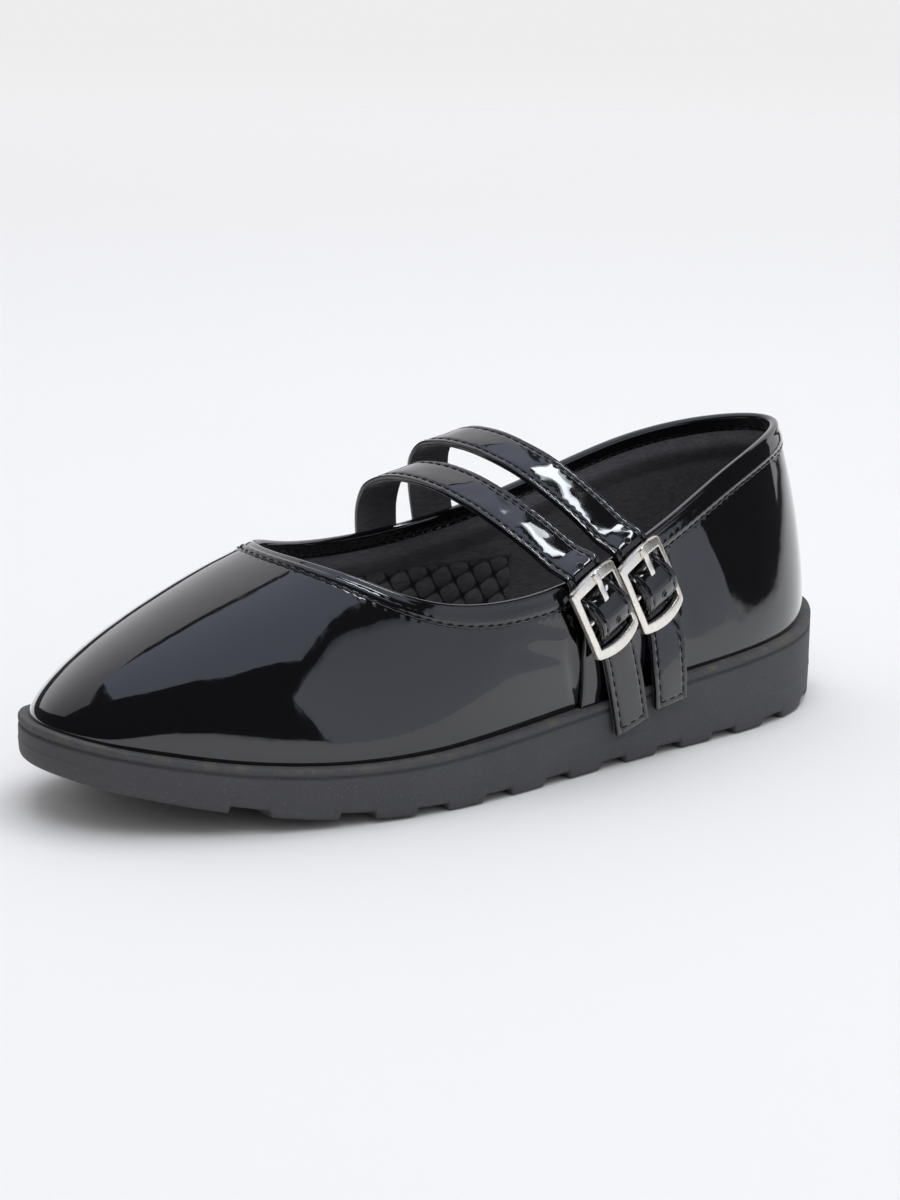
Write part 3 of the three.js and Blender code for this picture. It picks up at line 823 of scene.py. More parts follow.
class SHOE_OT_binding(bpy.types.Operator):
    """Folded patent strip sewn over the whole top line"""

    bl_idname = "shoe.binding"
    bl_label = "Top binding"

    def execute(self, context):
        sizes = context.scene.shoe_sizes
        turns, _ = topline_turns()
        seam = sizes.binding_depth / MM
        # Round the strip: depth below the top line, and offset from the wall's outer face.
        loop = rounded_loop([
            (seam + 0.5, -0.5), (seam + 0.6, 0.1), (seam + 0.35, 0.36), (seam, 0.2), (seam - 0.4, 0.42),
            (seam - 1.2, 0.64), (3.6, 0.56), (2.2, 0.42), (1.2, 0.42), (0.5, 0.4), (0, 0.2), (-0.3, -0.2),
            (-0.42, -0.9), (-0.3, -1.6), (0, -2.05), (0.6, -2.3), (1.6, -2.35), (2.8, -2.45),
            (3.5, -2.4), (3.9, -2.2), (4.3, -2.4), (4.7, -2.3), (4.8, -1.9), (4.4, -1.5), (3, -1.2),
            (2, -0.8), (3, -0.4), (5, -0.4),
        ], 2)

        def at(column, row):
            column %= TOPLINE_COLUMNS
            t = turns[column]
            depth, offset = loop[row % len(loop)]
            if offset > -0.6:
                depth += (seam_depth(t, sizes) - seam) * smoothstep(depth, 1.2, seam - 0.4)
            wave = stitch_wave(column, sizes)
            if offset > 0:
                offset -= BINDING_PUCKER * wave * hump(depth, seam_depth(t, sizes) - 0.7, 0.9)
                depth += 0.12 * wave * hump(depth, seam_depth(t, sizes) + 0.5, 0.5)
            elif offset < -2:
                offset += 0.1 * wave * hump(depth, 3.4, 0.7)
            return below_collar(t, depth, offset)

        bm = bmesh.new()
        add_sheet(bm, TOPLINE_COLUMNS, len(loop), at)
        finish_piece("top_binding", bm, ["patent_leather"], "patent_upper")
        return {"FINISHED"}


class SHOE_OT_lining(bpy.types.Operator):
    """Brushed lining with a soft roll under the binding"""

    bl_idname = "shoe.lining"
    bl_label = "Lining"

    def execute(self, context):
        columns = 360
        turns = [ROUND * i / columns for i in range(columns)]
        depths = [3.2, 4, 4.8, 5.6, 6.4, 7.4, 8.4, 9.4, 10.4, 11.4, 12.4, 13.4, 14.6, 16, 18, 20]

        def face(column, v, depth):
            t = turns[column]
            point = wall_point(t, v)
            roll = smoothstep(abs(t - HEEL), 3.0, 9.5)
            ridge = (1.5 - 0.9 * roll) * hump(depth, 9, 3.4) - 0.5 * hump(depth, 14.5, 1.2)
            uneven = sag(point, 14, LINING_SAG) * smoothstep(depth, 5, 9)
            return point - (LINING_OFFSET + ridge + uneven) * wall_normal(t, v)

        bm = bmesh.new()
        add_wall(bm, turns, depths, 14, face, back=[0.05, 0.35, 0.65, 0.9], back_offset=1.45)
        finish_piece("lining", bm, ["quilted_wall"], "lining_textile")
        return {"FINISHED"}


# ---------------------------------------------------------------- sole and insole


def turn_at(x):
    """The turn on the lateral side at which the sole's edge passes a distance x from the toe."""
    return halfway(0, HEEL, lambda t: sole_x(t) < x)


def recess_lift(x):
    """How far the tread is hollowed between two lugs at a distance x from the toe."""
    for end in LUG_ENDS:
        into = smoothstep(x, end, end + LUG_DRAFT)
        out_of = smoothstep(x, end + RECESS_WIDTH, end + RECESS_WIDTH + LUG_DRAFT)
        if into > 0 and out_of < 1:
            return LUG_DEPTH * into * (1 - out_of)
    return 0.0


def add_slab(bm, side, rows, ring, across, cap):
    """A closed slab with the sole's outline: a wall of rings, and strips across both of its ends.

    side holds turns from toe to heel. ring(t, row) gives a point of the wall, and cap(point, top, t, f)
    puts a point of the strips in place, a share f of the way across."""
    around = side + [ROUND - t for t in reversed(side[1:-1])]
    add_sheet(bm, len(around), rows, lambda i, j: ring(around[i % len(around)], j))
    for row in (0, rows):
        def strip(i, j, row=row):
            t, f = side[i], j / across
            point = ring(t, row).lerp(ring((ROUND - t) % ROUND, row), f)
            if 0 < j < across and 0 < i < len(side) - 1:
                point = cap(point, row == rows, t, f)
            return point
        add_sheet(bm, len(side) - 1, across, strip)


RUBBER_SAG = 0.07


class SHOE_OT_sole(bpy.types.Operator):
    """Moulded wedge sole with its lugs, top groove and mould line"""

    bl_idname = "shoe.sole"
    bl_label = "Sole"

    def execute(self, context):
        # Up the side, tread first: inset, height above the tread, share of the thickness, and height
        # from the top.
        profile = [
            (1.5, 0.0, 0, 0), (0.95, 0.12, 0, 0), (0.5, 0.5, 0, 0), (0.2, 1.2, 0, 0), (0.05, 2.4, 0, 0),
            (0, 0, 0.3, 0), (0, 0, 0.36, 0), (-0.12, 0, 0.385, 0), (-0.12, 0, 0.4, 0), (0, 0, 0.425, 0),
            (0, 0, 0.5, 0), (0, 0, 0.6, 0), (0, 0, 1, -3.4), (0.08, 0, 1, -3.1), (0.6, 0, 1, -2.75),
            (0.68, 0, 1, -2.45), (0.55, 0, 1, -2.15), (0.06, 0, 1, -1.8), (0, 0, 1, -1.4),
            (0.05, 0, 1, -0.7), (0.3, 0, 1, -0.25), (0.9, 0, 1, 0.0), (2.0, 0, 1, 0.05),
        ]

        def ring(t, row):
            inset, above, share, below = profile[row]
            point = sole_edge(t, inset)
            point.z = tread_height(point.x) + above + share * sole_thickness(point.x) + below
            if share:
                return point + sag(point, 9, RUBBER_SAG) * outward(sole_x, sole_y, t)
            point.z += recess_lift(sole_x(t)) * (1 - smoothstep(above, 1.5, 4))
            return point

        def cap(point, top, t, _):
            if not top:
                point.z = tread_height(point.x) + recess_lift(sole_x(t))
            return point

        # Even turns, and closer ones down the slope at each end of a lug.
        slopes = [end + shift for end in LUG_ENDS for shift in (0, RECESS_WIDTH)]
        even = [HEEL * i / 190 for i in range(191)]
        side = [t for t in even if all(not -0.3 < sole_x(t) - slope < LUG_DRAFT + 0.3 for slope in slopes)]
        side += [turn_at(slope + step) for slope in slopes for step in (-0.02, 0.15, 0.4, 0.65, LUG_DRAFT)]
        bm = bmesh.new()
        add_slab(bm, sorted(side), len(profile) - 1, ring, 14, cap)
        below_top = bm.verts.layers.float.new("below_top")
        for vert in bm.verts:
            vert[below_top] = sole_top(vert.co.x / MM - SHIFT_X) - vert.co.z / MM
        finish_piece("sole", bm, ["moulded_rubber"], "outsole_rubber", "outsole")
        return {"FINISHED"}


INSOLE_INSET = 6.6
INSOLE_THICKNESS = 3.2
PUFF_HEIGHT = 2.1           # of a quilted square over its seams
PUFF_SINK = 0.6             # of the seams into the insole


class SHOE_OT_insole(bpy.types.Operator):
    """Cushioned insole quilted in turned squares"""

    bl_idname = "shoe.insole"
    bl_label = "Insole"

    def execute(self, context):
        square = context.scene.shoe_sizes.quilt_square / MM
        profile = [(INSOLE_INSET + 0.6, 0.1), (INSOLE_INSET, 0.7), (INSOLE_INSET - 0.1, 1.6),
                   (INSOLE_INSET + 0.2, 2.5), (INSOLE_INSET + 1.1, INSOLE_THICKNESS)]

        def ring(t, row):
            inset, height = profile[row]
            point = sole_edge(t, inset)
            point.z = sole_top(point.x) + height
            return point

        def puff(point):
            a = (point.x * math.cos(QUILT_TURN) + point.y * math.sin(QUILT_TURN)) / square
            b = (point.y * math.cos(QUILT_TURN) - point.x * math.sin(QUILT_TURN)) / square
            return (abs(math.sin(math.pi * a)) * abs(math.sin(math.pi * b))) ** 0.7

        def cap(point, top, t, f):
            if top:
                rim = smoothstep(min(f, 1 - f), 0.0, 0.12) * smoothstep(min(t, HEEL - t), 0, 0.8)
                puffed = PUFF_HEIGHT * puff(point) - PUFF_SINK
                point.z = sole_top(point.x) + INSOLE_THICKNESS + rim * puffed
            return point

        side = [HEEL * i / 300 for i in range(301)]
        bm = bmesh.new()
        add_slab(bm, side, len(profile) - 1, ring, 84, cap)
        piece = finish_piece("insole_pad", bm, ["quilted_insole"], "lining_textile", "insole")
        return {"FINISHED"}


# ---------------------------------------------------------------- buckles, straps and tabs

BUCKLE_WIDTH = 18.6
BUCKLE_HEIGHT = 21.6
BUCKLE_BOW = 1.7            # how far the middles of its end bars lie beyond the corners
END_BAR_WIDTH = 2.9
SIDE_BAR_WIDTH = 1.95
BAR_THICKNESS = 1.6
BUCKLE_CROWN = 1.4          # how far its middle line stands out from its sides
BUCKLE_SAG = 0.3            # how far its ends bend back to the wall
BUCKLE_STANDOFF = 4.1       # of its centre bar from the wall
PIN_RADIUS = 0.8
PRONG_WIDTH = 1.9
PRONG_THICKNESS = 1.0
TAB_THICKNESS = 0.9
END_BAR_CENTRE = (BUCKLE_HEIGHT - END_BAR_WIDTH) / 2
STRAP_REST = 1.3            # strap's middle to the wall, where it lies on it
STRAP_HUMP = 7.35           # and where it passes over the buckle's centre bar
STRAP_CANT = math.radians(14)
STITCH_INSET = 1.75         # from a strap's edge
STRAP_DOME = 0.2
STRAP_GROOVE = 0.3
STRAP_PUCKER = 0.055
STRAP_SAG = 0.16
TAB_REST = 0.9              # tab's middle to the wall
PATH_STEP = 0.5             # from one station of a strap or tab to the next

# Two straps. Places on the wall, on the buckle's axis and on the tail are (distance from the toe, height);
# the arch's are (Y, height), and it crosses the middle line at crossing and runs back by skew;
# holes are distances along the strap from the place where the prong comes through.
Strap = namedtuple("Strap", "name medial_wall crossing skew arch buckle tail tab_foot holes")
STRAPS = (
    Strap(
        "front",
        medial_wall=((134.4, 19.6), (134, 23.5), (133, 32), (132.4, 41), (132.1, 50)),
        crossing=138.9, skew=0.18,
        arch=((38.3, 57), (38.1, 64), (35.9, 69.6), (31.8, 73.2), (26, 75.4), (17, 76.1), (7, 75.1),
              (-4, 72.5), (-15, 68.75), (-25, 64.6), (-33, 60.8)),
        buckle=((156, 37.2), (151.6, 46.4), (147.3, 55.6)),
        tail=((160.6, 20), (162.6, 11.2)),
        tab_foot=(151, 19.0), holes=(-14, -2.5, 4.8),
    ),
    Strap(
        "rear",
        medial_wall=((152, 20.8), (151.5, 24.5), (150.8, 34), (150.3, 44), (150.2, 53)),
        crossing=157.5, skew=0.2,
        arch=((35.8, 60.5), (37.2, 69), (36.9, 76), (33.4, 81), (27, 83.4), (18, 83.8), (8, 82.3),
              (-3, 79.3), (-14, 74.6), (-24, 69.4), (-31, 65.2)),
        buckle=((174.8, 41), (170.6, 50.1), (166.4, 59.2)),
        tail=((176.9, 24), (177.7, 15.2)),
        tab_foot=(169.5, 20.4), holes=(-14, -2.5, 4.8),
    ),
)

Axes = namedtuple("Axes", "up across out origin")


@lru_cache(maxsize=None)
def buckle_axes(buckle):
    """A buckle's axes: the origin on the wall under its centre bar, up along the strap, out of the wall."""
    ends = [wall_at("lateral", x, z) for x, z in buckle]
    lower, centre, upper = (wall_point(t, v) for t, v in ends)
    up = (upper - lower).normalized()
    across = up.cross(wall_normal(*ends[1])).normalized()
    return Axes(up, across, across.cross(up), centre)


def in_buckle(axes, along, distance, aside=0.0):
    """A point by its distances along the strap, out of the wall and across, from a buckle's origin."""
    return axes.origin + along * axes.up + distance * axes.out + aside * axes.across


@lru_cache(maxsize=None)
def strap_stations(strap):
    """Even stations along a strap, from the medial side of the sole to the end of its tail."""
    axes = buckle_axes(strap.buckle)
    over_tab = TAB_REST + TAB_THICKNESS + 0.65
    shoulder = 0.36 * BUCKLE_HEIGHT / 2
    clear = 0.66 * BUCKLE_HEIGHT / 2
    points = [off_wall("medial", x, z, STRAP_REST + 0.15) for x, z in strap.medial_wall]
    points += [Vector((strap.crossing - strap.skew * y, y, z)) for y, z in strap.arch]
    points += [
        in_buckle(axes, 1.2 * BUCKLE_HEIGHT / 2, STRAP_REST + 0.5),
        in_buckle(axes, END_BAR_CENTRE, STRAP_REST),
        in_buckle(axes, clear, STRAP_REST + 0.4),
        in_buckle(axes, shoulder, 0.72 * STRAP_HUMP),
        in_buckle(axes, 0, STRAP_HUMP),
        in_buckle(axes, -shoulder, 0.86 * STRAP_HUMP),
        in_buckle(axes, -clear, over_tab + 0.1),
        in_buckle(axes, -END_BAR_CENTRE, over_tab),
        in_buckle(axes, -END_BAR_CENTRE - 4, over_tab + 0.2),
    ]
    for x, z in strap.tail:
        edge = sole_edge(turn_at(x))
        points.append(Vector((x, edge.y - STRAP_REST - 0.1, z)))

    def hint(centre, _):
        away = (centre - in_buckle(axes, 0, BUCKLE_STANDOFF)).length
        free = Vector((1, -0.04 - 0.0036 * centre.y, math.tan(STRAP_CANT)))
        return axes.across.lerp(free, smoothstep(away, 11, 24))

    return tuple(stations_of(smooth_path(points, PATH_STEP), hint))


FACE_HALF = (0.12, 0.25, 0.38, 0.5, 0.6, 0.66, 0.7, 0.73, 0.76, 0.8, 0.85, 0.9, 0.95, 0.985, 1)
FACE_SHARES = (*(-f for f in reversed(FACE_HALF)), 0, *FACE_HALF)
EDGE_TURNS = [math.pi * i / 14 for i in range(1, 14)]
BACK_SHARES = (0.96, 0.8, 0.4, 0, -0.4, -0.8, -0.96)
EDGE_ROUND = 0.3            # how far a strap's rounded edge reaches past its flat face


def edge_profile(turn):
    """A strap's edge, from its face (0) to its back (pi): the folded patent over the backing."""
    return EDGE_ROUND * math.sin(turn) ** 0.7 - 0.32 * hump(turn, 1.95, 0.22)


class LaidStrap:
    """A strap on the shoe, with the height of its stitched face and the outline of its section."""

    def __init__(self, strap, sizes):
        self.stations = strap_stations(strap)
        self.total = self.stations[-1].distance
        self.width = sizes.strap_width / MM
        self.thickness = sizes.strap_thickness / MM
        self.pitch = sizes.stitch_pitch / MM

    def height(self, station, a):
        """Height of the face above the strap's middle at a distance a across it."""
        half = self.width / 2
        edge = half - abs(a)
        wave = math.cos(2 * math.pi * station.distance / self.pitch)
        dome = STRAP_DOME * (1 - (a / half) ** 2)
        groove = STRAP_GROOVE * hump(edge, STITCH_INSET, 0.38)
        pucker = STRAP_PUCKER * wave * hump(edge, STITCH_INSET, 0.8)
        if edge > STITCH_INSET - 0.4:
            groove += STRAP_GROOVE * hump(self.total - station.distance, STITCH_INSET + 0.1, 0.35)
        uneven = STRAP_SAG * noise.noise(Vector((station.distance / 9, a / 6, self.width)))
        return self.thickness / 2 + dome - groove - pucker + uneven

    def on_face(self, station, a=0.0, lift=0.02):
        """A point a across the face and lift above it."""
        return station.centre + a * station.across + (self.height(station, a) + lift) * station.out

    def nearest(self, distance):
        """The station nearest to a distance along the strap."""
        return min(self.stations, key=lambda station: abs(station.distance - distance))

    def outline(self, station):
        """Round the strap at a station: face, edge, back and the other edge, as (across, out) pairs."""
        flat, back = self.width / 2 - EDGE_ROUND, -self.thickness / 2
        top = self.height(station, flat)
        middle, radius = (top + back) / 2, (top - back) / 2
        face = [(f * flat, self.height(station, f * flat)) for f in FACE_SHARES]
        edge = [(flat + edge_profile(turn), middle + radius * math.cos(turn)) for turn in EDGE_TURNS]
        under = [(f * flat, back - 0.05) for f in BACK_SHARES]
        return face + edge + under + [(-a, b) for a, b in reversed(edge)]


class SHOE_OT_straps(bpy.types.Operator):
    """Two patent straps lined with textile, from the medial side over the instep to their tails"""

    bl_idname = "shoe.straps"
    bl_label = "Straps"

    def execute(self, context):
        back_from = len(FACE_SHARES) + len(EDGE_TURNS) - 1
        back_to = back_from + len(BACK_SHARES) + 1

        def side(low, high):
            return 1 if back_from <= low and high <= back_to else 0

        for strap in STRAPS:
            laid = LaidStrap(strap, context.scene.shoe_sizes)
            outlines = [laid.outline(station) for station in laid.stations]
            rows = len(outlines[0])

            def at(i, j, laid=laid, outlines=outlines, rows=rows):
                station = laid.stations[i]
                from_end = min(station.distance, laid.total - station.distance)
                narrow = 1 - 0.05 * (1 - smoothstep(from_end, 0, 0.7))
                thin = 1 - 0.5 * (1 - smoothstep(from_end, -0.4, 0.7))
                a, b = outlines[i][j % rows]
                return station.centre + a * narrow * station.across + b * thin * station.out

            bm = bmesh.new()
            add_sheet(bm, len(laid.stations) - 1, rows, at, side)
            close_ends(bm)
            finish_piece(f"strap_{strap.name}_patent", bm, ["crinkled_patent", "napped_lining"],
                         "patent_strap", f"strap_{strap.name}")
        return {"FINISHED"}


HOLE_RADIUS = 0.75
RIM_REACH = 0.24
RIM_HEIGHT = 0.18


def add_rim(bm, middle, basis):
    """A raised ring round a punched hole."""
    steps, ring = 24, 10

    def at(i, j):
        turn = 2 * math.pi * (i % steps) / steps
        bend = 2 * math.pi * (j % ring) / ring
        reach_out = HOLE_RADIUS + RIM_REACH * (1 + math.cos(bend))
        local = (reach_out * math.cos(turn), reach_out * math.sin(turn), RIM_HEIGHT * math.sin(bend))
        return middle + basis.to_3x3() @ Vector(local)

    add_sheet(bm, steps, ring, at)


class SHOE_OT_holes(bpy.types.Operator):
    """Punched buckle holes in both straps, with a near-black disc of painted shade in each"""

    bl_idname = "shoe.holes"
    bl_label = "Buckle holes"

    def execute(self, context):
        rims, shade_discs = bmesh.new(), bmesh.new()
        shade_disc_radius = (HOLE_RADIUS + 0.05) * MM
        for strap in STRAPS:
            laid = LaidStrap(strap, context.scene.shoe_sizes)
            through = in_buckle(buckle_axes(strap.buckle), 2.9, STRAP_HUMP)
            pin = min(laid.stations, key=lambda s, place=through: (s.centre - place).length)
            for shift in strap.holes:
                station = laid.nearest(pin.distance + shift)
                basis = turned(station.along, station.across, station.out)
                add_rim(rims, laid.on_face(station, lift=0), basis)
                # A near-black disc just over the strap's face is painted shade for the inside of the hole.
                place = Matrix.Translation(seat(laid.on_face(station))) @ basis
                bmesh.ops.create_cone(shade_discs, cap_ends=True, segments=20, radius1=shade_disc_radius,
                                      radius2=shade_disc_radius, depth=0.12 * MM, matrix=place)
        finish_piece("hole_rims", rims, ["patent_leather"], "patent_strap")
        # The discs take the near-black thread finish as painted shade.
        finish_piece("hole_wells", shade_discs, ["sewing_thread"], "stitch_thread", smooth=False)
        return {"FINISHED"}


def sweep(name, stations, section, finish, slot, node, scale=lambda f: 1.0):
    """A band along stations with a section of (across, out) pairs."""

    def at(i, j):
        station = stations[i]
        a, b = section[j % len(section)]
        size = scale(i / (len(stations) - 1))
        return station.centre + size * (a * station.across + b * station.out)

    bm = bmesh.new()
    add_sheet(bm, len(stations) - 1, len(section), at)
    close_ends(bm)
    finish_piece(name, bm, [finish], slot, node)


def pillow_section(width, thickness, corner, steps):
    """A flat section with round corners."""

    def reach_at(half, share):
        swell = corner * math.copysign(abs(share) ** 0.5, share)
        return (half - corner) * max(-1, min(1, 1.5 * share)) + swell

    turns = [2 * math.pi * (i + 0.5) / steps for i in range(steps)]
    return [(reach_at(width / 2, math.cos(a)), reach_at(thickness / 2, math.sin(a))) for a in turns]


def round_bar(axes, radius, start, end, count):
    """Points on the way round the centre bar; 0 points up the strap and 90 out of the shoe."""
    turns = [math.radians(start + (end - start) * i / (count - 1)) for i in range(count)]
    return [in_buckle(axes, radius * math.cos(a), BUCKLE_STANDOFF + radius * math.sin(a)) for a in turns]


class SHOE_OT_tabs(bpy.types.Operator):
    """Underlay tabs that hold the buckles' centre bars"""

    bl_idname = "shoe.tabs"
    bl_label = "Buckle tabs"

    def execute(self, context):
        width = context.scene.shoe_sizes.strap_width / MM - 0.6
        section = pillow_section(width, TAB_THICKNESS + 0.2, 0.35, 36)
        eye = PIN_RADIUS + 0.35 + TAB_THICKNESS / 2
        wall_hint = Vector((1, 0.09, 0.05))
        for strap in STRAPS:
            axes = buckle_axes(strap.buckle)
            foot, middle = Vector(strap.tab_foot), Vector(strap.buckle[1])
            points = [off_wall("lateral", *foot.lerp(middle, f), TAB_REST) for f in (0, 0.2, 0.4, 0.6)]
            points += round_bar(axes, eye, -80, 90, 8)
            points += [in_buckle(axes, -1.8, BUCKLE_STANDOFF + 0.9),
                       in_buckle(axes, -3.6, BUCKLE_STANDOFF - 0.8)]

            def hint(_, f, axes=axes):
                return wall_hint.lerp(axes.across, smoothstep(f, 0.2, 0.6))

            stations = stations_of(smooth_path(points, PATH_STEP), hint)
            sweep(f"tab_{strap.name}_patent", stations, section, "patent_leather",
                  "patent_strap", f"buckle_tab_{strap.name}")
        return {"FINISHED"}


def buckle_outline(half_width, half_height, radius):
    """A buckle's outline with bowed ends, divided the same way at every size."""
    outline = []
    per_corner, per_side = 6, 30
    corners = [Vector((a * (half_width - radius), b * (half_height - radius)))
               for a, b in ((1, 1), (-1, 1), (-1, -1), (1, -1))]

    def round_corner(k, i):
        turn = math.pi / 2 * (k + i / per_corner)
        return corners[k % 4] + radius * Vector((math.cos(turn), math.sin(turn)))

    for k in range(4):
        outline += [round_corner(k, i) for i in range(per_corner + 1)]
        start, end = outline[-1], round_corner(k + 1, 0)
        outline += [start.lerp(end, i / per_side) for i in range(1, per_side)]
    for point in outline:
        bow = BUCKLE_BOW * (1 - (2 * point.x / BUCKLE_WIDTH) ** 2)
        point.y *= 1 + 2 * bow / BUCKLE_HEIGHT
    return outline


def frame_lift(aside, along):
    """How far out of the wall the buckle's frame lies."""
    crown = BUCKLE_CROWN * (0.8 - (2 * aside / BUCKLE_WIDTH) ** 2)
    return BUCKLE_STANDOFF + crown - BUCKLE_SAG * (2 * along / BUCKLE_HEIGHT) ** 2


class SHOE_OT_buckles(bpy.types.Operator):
    """Plated buckle frames with their centre bars and prongs"""

    bl_idname = "shoe.buckles"
    bl_label = "Buckles"

    def execute(self, context):
        half_width, half_height = BUCKLE_WIDTH / 2, BUCKLE_HEIGHT / 2
        outer = buckle_outline(half_width, half_height, 0.9)
        inner = buckle_outline(half_width - SIDE_BAR_WIDTH, half_height - END_BAR_WIDTH, 0.45)
        # The bar's section, as shares of its width and half its thickness: flat face, bevelled edges.
        section = rounded_loop([
            (1, -0.8), (0.9, -1), (0.5, -1), (0.1, -1), (0, -0.8), (0, 0), (0, 0.55), (0.04, 0.86),
            (0.13, 1), (0.3, 1.03), (0.5, 1.04), (0.7, 1.03), (0.87, 1), (0.96, 0.86), (1, 0.55), (1, 0),
        ], 2)

        for strap in STRAPS:
            axes = buckle_axes(strap.buckle)

            def at(i, j, axes=axes):
                share, b = section[j % len(section)]
                here = inner[i % len(inner)].lerp(outer[i % len(outer)], share)
                lift = frame_lift(here.x, here.y) + b * BAR_THICKNESS / 2
                return in_buckle(axes, here.y, lift, here.x)

            bm = bmesh.new()
            add_sheet(bm, len(outer), len(section), at)
            place = Matrix.Translation(seat(in_buckle(axes, 0, BUCKLE_STANDOFF)))
            bmesh.ops.create_cone(
                bm, cap_ends=True, segments=24, radius1=PIN_RADIUS * MM, radius2=PIN_RADIUS * MM,
                depth=(BUCKLE_WIDTH - SIDE_BAR_WIDTH) * MM,
                matrix=place @ turned(axes.up, axes.out, axes.across))
            finish_piece(f"buckle_{strap.name}_frame", bm, ["plated_metal"],
                         "buckle_metal", f"buckle_{strap.name}")
            self.add_prong(strap, axes)
        return {"FINISHED"}

    def add_prong(self, strap, axes):
        """A prong with its eye round the centre bar and its tip on the end bar."""
        eye = PIN_RADIUS + 0.45
        end_bar = END_BAR_CENTRE + BUCKLE_BOW
        over_bar = frame_lift(0, end_bar) + (BAR_THICKNESS + PRONG_THICKNESS) / 2 + 0.1
        points = round_bar(axes, eye, -170, 80, 9) + [
            in_buckle(axes, end_bar * 0.4, (BUCKLE_STANDOFF + eye + over_bar) / 2 + 0.5),
            in_buckle(axes, end_bar * 0.75, over_bar - 0.1),
            in_buckle(axes, end_bar, over_bar),
            in_buckle(axes, end_bar + 1.7, over_bar - 0.2),
        ]
        stations = stations_of(smooth_path(points, 0.3), lambda _, f: axes.across)
        section = pillow_section(PRONG_WIDTH, PRONG_THICKNESS, 0.3, 24)
        sweep(f"prong_{strap.name}_pin", stations, section, "plated_metal", "buckle_metal",
              f"prong_{strap.name}", scale=lambda f: 1 - 0.55 * smoothstep(f, 0.96, 1.0) ** 2)


# ---------------------------------------------------------------- stitches

THREAD_RADIUS = 0.3
THREAD_HEIGHT = 0.24


def on_insole(point, margin):
    """Whether a point lies on the insole, at least margin inside its edge."""
    if not 0 < point.x < SOLE_LENGTH:
        return False
    t = turn_at(point.x)
    inset = INSOLE_INSET + margin
    lateral, medial = sole_edge(t, inset), sole_edge(ROUND - t, inset)
    return lateral.y < point.y < medial.y and inset < point.x < SOLE_LENGTH - inset


def add_stitch(bm, point, along, out, length, turn=0.0, rounds=2):
    """One stitch of thread, half sunk in its seam."""
    across = out.cross(along).normalized()
    lie = (along * math.cos(turn) + across * math.sin(turn)).normalized()
    side = out.cross(lie).normalized()
    basis = turned(lie * length / 2, side * THREAD_RADIUS, out * THREAD_HEIGHT)
    place = Matrix.Translation(seat(point)) @ Matrix.Scale(MM, 4) @ basis
    bmesh.ops.create_icosphere(bm, subdivisions=rounds, radius=1, matrix=place)


class SHOE_OT_stitches(bpy.types.Operator):
    """Black stitching round the top line, along the straps and over the insole"""

    bl_idname = "shoe.stitches"
    bl_label = "Stitches"

    def execute(self, context):
        sizes = context.scene.shoe_sizes
        for name, sew in (("topline", self.sew_topline), ("strap", self.sew_straps),
                          ("quilt", self.sew_quilt)):
            bm = bmesh.new()
            sew(bm, sizes, sizes.stitch_pitch / MM, sizes.stitch_length / MM)
            finish_piece(f"{name}_stitches", bm, ["sewing_thread"], "stitch_thread")
        return {"FINISHED"}

    def sew_topline(self, bm, sizes, pitch, length):
        """Stitches down both sides of the binding's seam, outside and inside the shoe."""
        turns, topline = topline_turns()
        turns += (ROUND,)
        count = round(topline / pitch)
        for i in range(count):
            exact = (i + 0.5) / count * TOPLINE_COLUMNS
            low = int(exact)
            t = turns[low] + (exact - low) * (turns[low + 1] - turns[low])
            for depth, offset, facing in ((seam_depth(t, sizes), 0.22, 1), (3.9, -2.22, -1)):
                here = below_collar(t, depth, offset)
                along = below_collar(t + STEP, depth, offset) - here
                out = facing * wall_normal(t, share_at(t, depth))
                add_stitch(bm, here, along.normalized(), out, length, 0.2)

    def sew_straps(self, bm, sizes, pitch, length):
        """Two lines along each strap, and three stitches across the end of its tail."""
        for strap in STRAPS:
            laid = LaidStrap(strap, sizes)
            line = laid.width / 2 - STITCH_INSET
            for k in range(int((laid.total - STITCH_INSET - 1) / pitch)):
                station = laid.nearest(laid.total - STITCH_INSET - pitch * (k + 0.5))
                for a in (-line, line):
                    add_stitch(bm, laid.on_face(station, a), station.along, station.out, length, 0.12)
            end = laid.nearest(laid.total - STITCH_INSET)
            for k in (-1.15, 0, 1.15):
                add_stitch(bm, laid.on_face(end, k * pitch), end.across, end.out, length * 1.1)

    def sew_quilt(self, bm, sizes, pitch, length):
        """Two crossing sets of lines over the insole."""
        square = sizes.quilt_square / MM
        ahead = Vector((math.cos(QUILT_TURN), math.sin(QUILT_TURN), 0))
        for along in (ahead, Vector((-ahead.y, ahead.x, 0))):
            aside = Vector((-along.y, along.x, 0))
            for line in range(-30, 34):
                for k in range(-90, 100):
                    here = line * square * aside + (k + 0.5) * pitch * along
                    if on_insole(here, 4):
                        here.z = sole_top(here.x) + INSOLE_THICKNESS + 0.05
                        add_stitch(bm, here, along, Vector((0, 0, 1)), length, 0.1, rounds=1)


# ---------------------------------------------------------------- stage

CAMERA_PLACE = Vector((-0.4960, -0.6573, 0.2694))
CAMERA_ROLL = math.radians(0.924)
SENSOR = 36
LENS = 90
FAR_CLIP = 30
DARK_STUDIO = (0.05, 0.05, 0.053, 1)
PALE_STUDIO = (0.85, 0.85, 0.86, 1)
FLOOR_HALF = 9
FLOOR_DROP = 0.0002         # under the tread
FLOOR_FADE = 1.5            # from the shoe, where the floor is half faded into the air
FADE_WIDTH = 0.9            # to either side of that
CEILING = 2.2
SPARK_HEIGHT = 0.97         # of the ceiling's


def bearing(azimuth, elevation, distance):
    """A point seen from the shoe at a bearing and a height angle in degrees, and a distance in metres."""
    turn, lift = math.radians(azimuth), math.radians(elevation)
    flat = distance * math.cos(lift)
    return Vector((flat * math.cos(turn), flat * math.sin(turn), distance * math.sin(lift)))


def overhead(x, y, share=1.0):
    """A point at a share of the ceiling's height, in line with a place (x, y, 1) ceilings high."""
    return share * CEILING * Vector((x, y, 1))


